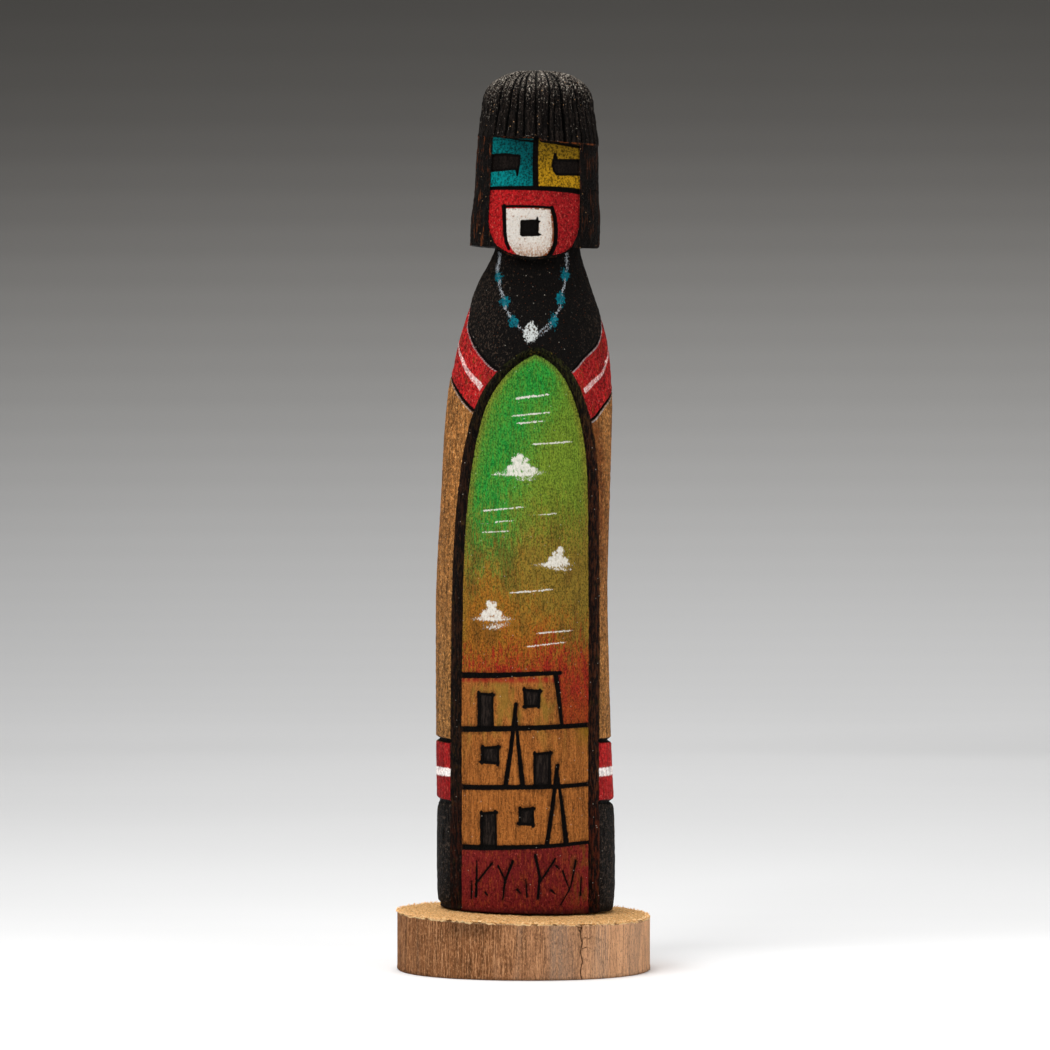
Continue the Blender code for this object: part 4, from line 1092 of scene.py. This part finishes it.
def carve_head(sizes):
    """The grid of the head from under the chin to the crown, and the fields of its paint."""
    dome = DOME_FROM + (1 - DOME_FROM) * np.sin(np.radians(np.linspace(0, CROWN_REACH, 60)[1:]))
    levels = np.concatenate([rows_of((HAIR_FOOT, 254.775, 0.262)), height_of(dome)])
    z, turn = np.meshgrid(levels, columns_of((-50, 50, 212), (50, 310, 186)), indexing="ij")
    angle = np.radians(turn)
    face_x, face_z = curve(SWAY, EYE_LEVEL) + FACE_SHIFT, height_of(EYE_LEVEL)

    # The lower edge: the hem of the hair, and the round chin where it hangs lower
    hem = curve(HEM_LINE, turn[0])
    chin_x, chin_z = turned(*np.array([place for place in FACE_EDGE if place[1] < CHIN_FROM]).T, -FACE_LEAN)
    chin = np.interp(hair_grid(z, angle)[0][0, :, 0], chin_x + face_x, chin_z + face_z, left=999.0, right=999.0)
    edge = np.where(np.cos(angle[0]) > 0.3, np.minimum(hem, chin), hem)
    z = z + (edge - HAIR_FOOT) * np.clip((HEM_REACH - z) / (HEM_REACH - HAIR_FOOT), 0, 1)
    grid, half = hair_grid(z, angle)

    at_front = np.cos(angle) > 0.2
    u, v = turned(np.where(at_front, grid[..., 0], OFF_FRONT) - face_x, z - face_z, FACE_LEAN)
    at_back = ease(np.abs(turn), 92.0, 112.0)
    fringe = np.maximum(z - curve(FRINGE_LINE, turn), np.where(at_back > 0, at_back * 9.0 - 3.0, -99.0))
    face_in = np.minimum(np.where(at_front, outline_field(u, v, FACE_EDGE), OUTSIDE), -fringe)
    left_eye, right_eye, muzzle, mouth = (
        outline_field(u, v, outline) for outline in (LEFT_EYE, RIGHT_EYE, MUZZLE, MOUTH))
    eyes = np.maximum(left_eye, right_eye)
    lines = np.where(face_in > -0.3, stroke_field(u, v, FACE_STROKES), OUTSIDE)
    crack = np.where((turn > 60) & (turn < 100), 0.30 - np.abs(z - 230.2 - 0.4 * np.sin(turn / 5)), OUTSIDE)

    flutes = np.zeros(z.shape)
    climb = ease(z, 244.0, 262.0)
    wander = lumps(grid, (9.0, 9.0, 7.0), 21) * 0.9
    for low, high, cut in FRONT_FLUTES + back_flutes():
        aside = np.radians(np.abs(wrapped(turn - low - (high - low) * climb - wander))) * half
        width = np.minimum(FLUTE_WIDE / 2 * (0.7 + 0.6 * cut), half * 0.10 + 0.05)
        flutes = np.maximum(flutes, cut / 0.8 * np.clip(1 - aside / width, 0, 1) * np.minimum(1, half / 6.0))
    flutes *= ease(fringe, -0.1, 0.6)
    depth = sizes.flute_depth * flutes + sizes.lock_depth * (1 - ease(fringe, -0.25, 0.25))
    depth += hollows(grid, (5.0, 5.0, 22.0), 23, 0.22) + hollows(grid, (1.2, 1.2, 9.0), 24, 0.14)
    depth += hollows(grid, (0.6, 0.6, 0.8), 26, 0.26)
    holes = np.maximum(ease(eyes, -0.1, 0.4), ease(mouth, -0.1, 0.4))
    relief = np.maximum(sizes.line_depth * groove(lines, 0.1, 0.65), sizes.opening_depth * holes)
    relief += hollows(grid, (4.0, 4.0, 4.0), 25, 0.12) - 0.25 * ease(muzzle, 0.2, 2.0) * ease(-mouth, 0.0, 1.0)
    sunk = ease(face_in, -0.05, 0.50)
    depth = depth * (1 - sunk) + relief * sunk + 0.5 * groove(crack, 0.0, 0.3)
    shaped = grid - outward(grid) * depth[..., None]
    shaped[..., 1] += sizes.face_depth * np.cos(angle) * sunk
    shaped[..., 2] = np.minimum(shaped[..., 2], z)

    # The underside runs in to the neck, and up a little behind the chin
    step = (np.arange(1, 14) / 14)[:, None]
    below = np.repeat(shaped[:1], len(step), 0)
    below[..., :2] = NECK + (below[..., :2] - NECK) * (0.3 + 0.7 * step[..., None])
    below[..., 2] += (UNDER_CHIN - below[..., 2]) * (1 - step**2)
    fields = {
        "face_in": face_in, "face_u": np.clip(u, -30, 30), "face_v": v, "fringe": fringe, "eyes": eyes,
        "muzzle": muzzle, "mouth": mouth, "face_lines": np.maximum(lines, crack), "flutes": flutes,
    }
    fields = {name: np.concatenate([np.repeat(values[:1], len(below), 0), values]) for name, values in fields.items()}
    fields["under"] = np.repeat((1.0, 0.0), (len(below), len(shaped)))[:, None]
    return np.concatenate([below, shaped]), fields


def slice_radius(bearing):
    ripple = sum(share * np.cos(waves * bearing - math.radians(turn)) for waves, share, turn in SLICE_LOBES)
    return SLICE_WIDE / 2 * (1 + ripple)


def saw_slice(sizes):
    """The grid of the slice from the middle of its underside over the side to the middle of its top."""
    degrees = columns_of((-60, 16, 110), (16, 34, 120), (34, 60, 40), (60, 300, 150))
    bearing = np.radians(degrees)
    rim = slice_radius(bearing) * np.array([np.sin(bearing), -np.cos(bearing)])
    rim -= (rim.min(1, keepdims=True) + rim.max(1, keepdims=True)) / 2
    over_top = 1 - np.concatenate([np.linspace(0.006, 0.12, 22), np.linspace(0.135, 0.95, 46)])
    out = np.concatenate([np.linspace(0.05, 0.985, 8), np.ones(72), over_top])[:, None]
    up = np.concatenate([np.zeros(8), np.linspace(0.012, 0.988, 72), np.ones(68)])[:, None]
    x, y, out, up = np.broadcast_arrays(rim[0] * out, rim[1] * out, out, up)
    grid = np.stack([x, y, up * slice_top(x)], axis=-1)
    side, top = out == 1.0, up == 1.0
    arc = np.radians(wrapped(degrees - CRACK_BEARING)) * RIM_RADIUS + 0 * x
    edge_in = (1 - out) * RIM_RADIUS
    top_crack = stroke_field(arc, edge_in + 17.0, TOP_CRACK_STROKES)
    crack = np.where(top, top_crack, stroke_field(arc, grid[..., 2], CRACK_STROKES))
    crack = np.where(up == 0.0, OUTSIDE, crack)

    # How far the side is cut in and the top is cut down, in millimetres
    grip = ease(up, 0.0, 0.08) * ease(1 - up, 0.0, 0.05)
    inward = 0.10 + hollows(grid, (2.2, 2.2, 26.0), 31, 0.35) + hollows(grid, (0.9, 0.9, 12.0), 32, 0.22)
    inward *= sizes.side_roughness * side * (0.35 + 0.65 * grip)
    inward += sizes.crack_depth * groove(crack, 0.05, 0.3) * side
    worn_and_shaded = (ease(up, 0.93, 1.0) + ease(1 - up, 0.95, 1.0)) * side
    inward += 0.25 * worn_and_shaded * (1 + lumps(grid, (1.4, 1.4, 1.4), 33))
    drop = hollows(grid, (0.9, 5.0, 3.0), 34, 0.24) + hollows(grid, (0.9, 0.9, 0.9), 35, 0.40)
    drop += np.exp(-edge_in / 0.7) * (0.36 + 0.40 * lumps(grid, (0.8, 0.8, 40.0), 36))
    drop *= top | (side & (up > 0.97))
    chips = np.zeros(x.shape)
    from_rim = np.where(side, (1 - up) * SLICE_THICK * 1.4, edge_in)
    for at, reach, deep in RIM_CHIPS:
        aside = np.radians(wrapped(degrees - at)) * RIM_RADIUS
        bite = np.clip(1.9 * (1 - np.hypot(aside / (reach / 2), from_rim / 1.3)), 0, 1) * (up > 0)
        chips = np.maximum(chips, bite)
        drop += deep * 0.45 * bite * np.where(top, 1.0, 0.4)
        inward += deep * 0.5 * bite * side
    drop += 0.8 * groove(top_crack, 0.05, 0.3) * top
    grid[..., :2] *= (1 - inward / np.maximum(np.hypot(x, y), 1e-6))[..., None]
    grid[..., 2] = np.maximum(grid[..., 2] - drop, 0.0)
    top_in = np.where(top, np.maximum(edge_in, 0.05), (up - 1) * SLICE_THICK)
    return grid, {"crack": np.clip(crack, -5, 5), "chips": chips, "top_in": top_in}


def fray_rim(sizes, material):
    """Small torn fibres that stand up and out along the sawn rim, in one piece."""
    rng = np.random.default_rng(17)
    points, faces = [], []
    low = np.array(CAD_BOX[0]) / MM + 0.02
    high = np.array([CAD_BOX[1][0] / MM, CAD_BOX[1][1] / MM, SLICE_THICK + 0.9]) - 0.02
    for _ in range(sizes.fibre_count):
        bearing = rng.uniform(-math.pi, math.pi)
        out = np.array([math.sin(bearing), -math.cos(bearing), 0.0])
        along = np.array([math.cos(bearing), math.sin(bearing), 0.0])
        root = out * (slice_radius(bearing) - rng.uniform(0.25, 1.3))
        root[2] = slice_top(root[0]) - rng.uniform(0.25, 0.6)
        lean = along * rng.uniform(-1, 1) + out * rng.uniform(-0.1, 0.7) + np.array([0, 0, rng.uniform(0.05, 0.6)])
        lean /= np.linalg.norm(lean)
        side = np.cross(lean, [0, 0, 1.0])
        side /= max(np.linalg.norm(side), 1e-6)
        lift = np.cross(side, lean)
        long, thick = rng.uniform(0.25, 0.9), rng.uniform(0.10, 0.28)
        bend = lift * rng.uniform(-0.25, 0.25)
        first = len(points)
        for share, girth in ((0.0, 1.0), (0.5, 0.8), (1.0, 0.25)):
            centre = root + lean * long * share + bend * share**2
            for across, up in ((1.5, 0), (0, 1), (-1.5, 0), (0, -1)):
                points.append(np.clip(centre + (side * across + lift * up) * thick / 2 * girth, low, high))
        for ring in (first, first + 4):
            faces += [(ring + k, ring + k + 4, ring + (k + 1) % 4 + 4, ring + (k + 1) % 4) for k in range(4)]
        faces += [tuple(range(first, first + 4)), tuple(range(first + 11, first + 7, -1))]
    mesh = bpy.data.meshes.new("Rim_fibres")
    mesh.from_pydata([tuple(p * MM) for p in points], [], faces)
    add_piece("Rim_fibres", mesh, "base_slice", material)


# ---------------------------------------------------------------- what a user may change


def size_property(name, description, default, top):
    return bpy.props.FloatProperty(name=name, description=description, default=default, min=0.0, max=top)


class DollSizes(bpy.types.PropertyGroup):
    """Depths of the cuts, in millimetres."""

    arch_depth: size_property("Arch depth", "How deep the black border of the panel is cut, in mm", 2.2, 4.0)
    seam_depth: size_property("Seam depth", "How deep the shawl's seams are cut, in mm", 0.8, 2.0)
    hem_depth: size_property("Hem depth", "How deep the cuts over and under the striped hem are, in mm", 1.4, 3.0)
    line_depth: size_property("Line depth", "How deep the burnt lines are, in mm", 0.65, 1.5)
    opening_depth: size_property("Opening depth", "How deep windows, eyes and mouth are sunk, in mm", 0.6, 1.5)
    flute_depth: size_property("Flute depth", "How deep the deepest cuts in the hair are, in mm", 1.25, 2.0)
    lock_depth: size_property("Lock depth", "How far the locks lie behind the fringe, in mm", 0.4, 1.0)
    face_depth: size_property("Face depth", "How far the mask is sunk behind the hair, in mm", 1.9, 3.0)
    side_roughness: size_property("Side roughness", "Strength of the fibres on the side of the slice", 1.0, 2.0)
    crack_depth: size_property("Crack depth", "How deep the drying crack in the slice is, in mm", 1.3, 3.0)
    fibre_count: bpy.props.IntProperty(
        name="Fibres", description="Number of torn fibres on the sawn rim", default=900, min=0, max=4000)


def colour_property(name, description, red, green, blue):
    return bpy.props.FloatVectorProperty(
        name=name, description=description, subtype="COLOR", size=3, min=0.0, max=1.0,
        default=paint(red, green, blue))


class DollColours(bpy.types.PropertyGroup):
    """Paints, stains and kinds of bare wood."""

    # Black also stands for painted shade in the deepest grooves
    black: colour_property("Black", "Burnt lines, and painted shade in the deepest grooves", 8, 6, 5)
    charcoal: colour_property("Charcoal", "Black skirt and openings", 11, 9, 8)
    charcoal_pale: colour_property("Pale charcoal", "Worn places on the skirt", 44, 36, 31)
    ash: colour_property("Ash", "Speckle in the black paint", 70, 58, 49)
    ash_dark: colour_property("Dark ash", "Speckle in the skirt, and painted highlight streaks on its sides", 84, 71, 61)
    # Painted highlight along the seams' edges
    seam_highlight: colour_property("Seam highlight", "Painted highlight along the seams' edges", 150, 147, 146)
    soot_brown: colour_property("Brown soot", "Border of the arch, middle", 56, 33, 20)
    soot_green: colour_property("Green soot", "Border of the arch, top", 40, 42, 18)
    soot_red: colour_property("Red soot", "Border of the arch, foot", 66, 26, 14)
    red: colour_property("Red", "Shawl and hem", 178, 30, 32)
    # Darker patches in the red paint, at random
    red_deep: colour_property("Deep red", "Darker patches in the red paint", 140, 24, 26)
    red_worn: colour_property("Worn red", "Paler flecks in the red paint", 208, 92, 78)
    cloud: colour_property("Cloud white", "Thin white in the sky", 222, 217, 207)
    white_hem: colour_property("Hem white", "The hem's stripe", 250, 244, 240)
    white: colour_property("White", "Stripes and clouds", 226, 218, 212)
    pink: colour_property("Pink", "Thin white over red", 204, 138, 136)
    robe_warm: colour_property("Robe", "Bare wood of the robe", 164, 108, 55)
    robe_dark: colour_property("Robe streaks", "Dark grain of the robe", 88, 54, 26)
    robe_pale: colour_property("Robe pale", "Pale grain of the robe", 184, 132, 78)
    robe_light: colour_property("Robe fibres", "Lightest fibres of the robe", 214, 160, 100)
    plaster: colour_property("Plaster", "Walls of the village", 158, 94, 41)
    plaster_dark: colour_property("Plaster streaks", "Dark grain of the walls", 86, 46, 17)
    plaster_pale: colour_property("Plaster pale", "Pale grain of the walls", 182, 116, 56)
    green: colour_property("Green", "Bright part of the sky", 22, 138, 50)
    green_olive: colour_property("Leaf green", "Top of the sky", 84, 130, 36)
    olive: colour_property("Olive", "Sky", 108, 134, 40)
    olive_brown: colour_property("Brown olive", "Sky, lower and at the edges", 128, 106, 38)
    # Dark patches of paint low in the sky, at random
    umber: colour_property("Umber", "Dark patches low in the sky", 96, 62, 24)
    ochre: colour_property("Ochre", "Sky towards the roofs", 150, 94, 28)
    orange: colour_property("Orange", "Sky over the roofs", 142, 64, 24)
    sunset: colour_property("Sunset red", "Sky just over the roofs", 146, 32, 24)
    ground: colour_property("Ground", "Earth at the foot of the panel", 112, 28, 27)
    ground_deep: colour_property("Deep ground", "Middle of the earth", 98, 24, 23)
    rust: colour_property("Rust", "Rubbed earth", 140, 58, 28)
    rust_deep: colour_property("Deep rust", "Redder wood beside the arch", 104, 56, 26)
    thread: colour_property("Thread", "The necklace's string", 150, 155, 160)
    thread_pale: colour_property("Pendant", "The necklace's drop", 196, 200, 198)
    bead: colour_property("Bead", "Beads of the necklace", 0, 78, 92)
    bead_pale: colour_property("Pale bead", "Light side of the beads", 2, 104, 116)
    hair_brown: colour_property("Hair brown", "Burnt wood of the hair", 37, 30, 26)
    # Grit and dust also stand for painted highlight on the crown of the hair
    grit_and_sheen: colour_property("Grit", "Pale grit, and painted highlight on the crown", 146, 138, 128)
    dust_and_sheen: colour_property("Dust", "Specks of dust, and painted highlight on the crown", 196, 188, 174)
    scorch: colour_property("Scorch", "Wood that shows through the black", 116, 58, 24)
    chip: colour_property("Chip", "Small chips in the hair", 172, 132, 92)
    eye: colour_property("Eye", "Inside the eyes", 19, 14, 12)
    turquoise: colour_property("Turquoise", "Left half of the mask", 0, 126, 127)
    turquoise_deep: colour_property("Deep turquoise", "Its shaded corner", 0, 68, 71)
    yellow: colour_property("Yellow", "Right half of the mask", 172, 128, 20)
    yellow_deep: colour_property("Deep yellow", "Its upper part, in painted shade under the fringe", 118, 90, 16)
    mask_red: colour_property("Mask red", "Lower part of the mask", 178, 26, 29)
    mask_red_deep: colour_property("Deep mask red", "Its shaded side", 142, 23, 26)
    muzzle: colour_property("Muzzle", "White round the mouth", 210, 203, 194)
    muzzle_peach: colour_property("Worn and shaded muzzle", "Where the white is thin, and painted shade at its bottom and right side", 176, 136, 106)
    bark_side: colour_property("Slice side", "Side of the slice", 134, 87, 53)
    bark_side_pink: colour_property("Slice side, pink", "Pinkish part of the side", 226, 173, 132)
    pit_shade: colour_property("Pit shade", "Painted shade in pits and chips of the sawn wood", 96, 56, 26)
    bark_grey: colour_property("Slice grey", "Weathered patches in the side", 140, 116, 98)
    bark_dark: colour_property("Slice streaks", "Dark streaks in the side", 92, 60, 36)
    side_pale: colour_property("Slice side, pale", "Pale fibres in the side", 214, 160, 114)
    saw_pale: colour_property("Sawn wood", "Top of the slice", 246, 188, 120)
    saw_tan: colour_property("Sawn wood, tan", "Darker part of the top", 226, 164, 98)
    # Torn wood also stands for painted highlight along the top's edge
    torn_wood_and_highlight: colour_property("Torn wood", "Fresh torn fibres, and painted highlight along the top's edge", 255, 224, 172)
    crack: colour_property("Crack", "Painted shade inside the drying crack", 30, 20, 14)


class DollStage(bpy.types.PropertyGroup):
    """Camera, floor and lights."""

    lens: bpy.props.FloatProperty(
        name="Lens", description="Focal length of the camera, in mm on a 36 mm sensor", default=156.4, min=20.0)
    distance: bpy.props.FloatProperty(
        name="Distance", description="How far in front of the slice's middle the camera stands",
        default=1.35, min=0.3, unit="LENGTH")
    camera_height: bpy.props.FloatProperty(
        name="Camera height", description="Height of the camera over the floor", default=0.1311, unit="LENGTH")
    key: bpy.props.FloatProperty(name="Main light", description="Watts of the large light on the left", default=15.0)
    fill: bpy.props.FloatProperty(name="Fill light", description="Watts of the light on the right", default=6.0)
    top: bpy.props.FloatProperty(name="Top light", description="Watts of the light overhead", default=12.0)
    backdrop: bpy.props.FloatProperty(
        name="Backdrop light", description="Watts of the light on the backdrop", default=2.5)
    floor: bpy.props.FloatVectorProperty(
        name="Floor", description="Colour of the floor", subtype="COLOR", size=3, min=0.0, max=1.0,
        default=(0.90, 0.90, 0.90))
    # Painted shade of the backdrop high up
    wall: bpy.props.FloatVectorProperty(
        name="Wall", description="Painted shade of the backdrop high up", subtype="COLOR", size=3, min=0.0, max=1.0,
        default=(0.004, 0.004, 0.004))


def colours_of(scene):
    """The chosen colours by name, each as three numbers."""
    group = scene.doll_colours
    return {key: tuple(getattr(group, key)) for key in DollColours.__annotations__}


class DOLL_OT_body(bpy.types.Operator):
    """Carves and paints the body, with its shawl, panel and striped hem"""

    bl_idname = "doll.body"
    bl_label = "Carve the body"

    def execute(self, context):
        grid, fields = carve_body(context.scene.doll_sizes)
        skin("Doll_body", grid, fields, "carved_figure", body_material(colours_of(context.scene)))
        return {"FINISHED"}


class DOLL_OT_head(bpy.types.Operator):
    """Carves and paints the head, with its hair and sunken mask"""

    bl_idname = "doll.head"
    bl_label = "Carve the head"

    def execute(self, context):
        grid, fields = carve_head(context.scene.doll_sizes)
        skin("Doll_head", grid, fields, "carved_figure", head_material(colours_of(context.scene)))
        return {"FINISHED"}


class DOLL_OT_slice(bpy.types.Operator):
    """Saws the slice of root that the doll stands on, with its crack and frayed rim"""

    bl_idname = "doll.slice"
    bl_label = "Saw the slice"

    def execute(self, context):
        sizes, colours = context.scene.doll_sizes, colours_of(context.scene)
        grid, fields = saw_slice(sizes)
        skin("Root_slice", grid, fields, "base_slice", slice_material(colours))
        fray_rim(sizes, fibre_material(colours))
        return {"FINISHED"}


class DOLL_OT_stage(bpy.types.Operator):
    """Sets out the pale floor, the soft lights and the camera"""

    bl_idname = "doll.stage"
    bl_label = "Set the stage"

    def execute(self, context):
        stage = context.scene.doll_stage
        make_floor(tuple(stage.floor), tuple(stage.wall))
        add_light("Main_light", (-0.75, -0.95, 0.95), 0.9, stage.key)
        add_light("Fill_light", (1.00, -0.80, 0.55), 0.9, stage.fill)
        add_light("Top_light", (-0.10, 0.15, 1.25), 0.7, stage.top)
        add_light("Backdrop_light", (0.0, 1.0, 1.1), 0.8, stage.backdrop, (0.0, 1.35, 0.0))
        sky = bpy.data.worlds.new("Soft_studio")
        sky.use_nodes = True
        sky.node_tree.nodes["Background"].inputs["Color"].default_value = (1.0, 1.0, 1.0, 1.0)
        sky.node_tree.nodes["Background"].inputs["Strength"].default_value = 0.35
        context.scene.world = sky
        context.scene.view_settings.view_transform = "Standard"
        camera = bpy.data.objects.new("Camera", bpy.data.cameras.new("Camera"))
        camera.data.lens = stage.lens
        camera.data.sensor_width = 36.0
        camera.location = (0.0004, -stage.distance, stage.camera_height)
        camera.rotation_euler = (math.radians(90.0), 0.0, 0.0)
        context.scene.collection.objects.link(camera)
        context.scene.camera = camera
        return {"FINISHED"}


def add_light(name, place, size, watts, towards=(0.0, 0.0, 0.13)):
    """A large soft light that looks at the middle of the doll, or elsewhere."""
    light = bpy.data.lights.new(name, "AREA")
    light.size = size
    light.energy = watts
    lamp = bpy.data.objects.new(name, light)
    lamp.location = place
    lamp.rotation_euler = (Vector(towards) - Vector(place)).to_track_quat("-Z", "Y").to_euler()
    bpy.context.scene.collection.objects.link(lamp)


def make_floor(colour, shade):
    """A pale floor that sweeps up far behind the doll, with painted shade that darkens its paper upwards."""
    rows = [(-3.0, 0.0)] + [(y, 0.0) for y in np.arange(-0.4, 1.3, 0.05)]
    rows += [(1.3 + 0.9 * math.sin(math.radians(t)), 0.9 - 0.9 * math.cos(math.radians(t))) for t in range(0, 91, 2)]
    rows += [(2.2, 1.6), (2.2, 3.0)]
    points = [(x, y, z) for y, z in rows for x in (-3.0, 3.0)]
    faces = [(2 * i, 2 * i + 1, 2 * i + 3, 2 * i + 2) for i in range(len(rows) - 1)]
    mesh = bpy.data.meshes.new("Floor")
    mesh.from_pydata(points, [], faces)
    y, z = np.array(rows).T
    along = np.where(z > 0.0, 1.3 + 0.9 * np.arctan2(y - 1.3, 0.9 - z), y)
    lit_shares = curve(PAPER_LIT_SHARES, along)
    add_field(mesh, "tone", np.stack([lit_shares * 0.45, lit_shares * 1.55], axis=1))
    mesh.shade_smooth()
    # Painted shade: the paper leans from the lit colour to the shaded one, darker up the wall and towards the left,
    # and warmer high up
    coats = Coats("Pale_paper", {"lit": colour, "shaded": shade})
    mottle = coats.noise((260.0, 260.0, 260.0), 2.0, 0.5, 2.0)
    paper = coats.lay(
        "shaded",
        (coats.field("tone"), "lit"),
        (mottle.ramp(0.3, 0.7, 0.05), 0.7),
        (coats.along("Z").ramp(0.0, 520.0), (1.0, 0.955, 0.89)),
    )
    mesh.materials.append(coats.finish(paper, 0.9, ((mottle, 0.01),), 0.1))
    floor = bpy.data.objects.new("Floor", mesh)
    bpy.context.scene.collection.objects.link(floor)


class DOLL_PT_workshop(bpy.types.Panel):
    """Lists the doll's pieces and the stage"""

    bl_label = "Kachina Doll"
    bl_idname = "DOLL_PT_workshop"
    bl_space_type = "VIEW_3D"
    bl_region_type = "UI"
    bl_category = "Kachina Doll"

    def draw(self, context):
        layout = self.layout
        for operator in STEPS:
            layout.operator(operator.bl_idname)
        for group, kind in ((context.scene.doll_sizes, DollSizes), (context.scene.doll_colours, DollColours),
                            (context.scene.doll_stage, DollStage)):
            box = layout.box()
            for key in kind.__annotations__:
                box.prop(group, key)


STEPS = (DOLL_OT_slice, DOLL_OT_body, DOLL_OT_head, DOLL_OT_stage)
CLASSES = (DollSizes, DollColours, DollStage, *STEPS, DOLL_PT_workshop)


def register():
    for kind in CLASSES:
        bpy.utils.register_class(kind)
    bpy.types.Scene.doll_sizes = bpy.props.PointerProperty(type=DollSizes)
    bpy.types.Scene.doll_colours = bpy.props.PointerProperty(type=DollColours)
    bpy.types.Scene.doll_stage = bpy.props.PointerProperty(type=DollStage)


def unregister():
    del bpy.types.Scene.doll_stage
    del bpy.types.Scene.doll_colours
    del bpy.types.Scene.doll_sizes
    for kind in reversed(CLASSES):
        bpy.utils.unregister_class(kind)


def main():
    register()
    bpy.ops.doll.slice()
    bpy.ops.doll.body()
    bpy.ops.doll.head()
    bpy.ops.doll.stage()


if __name__ == "__main__":
    main()
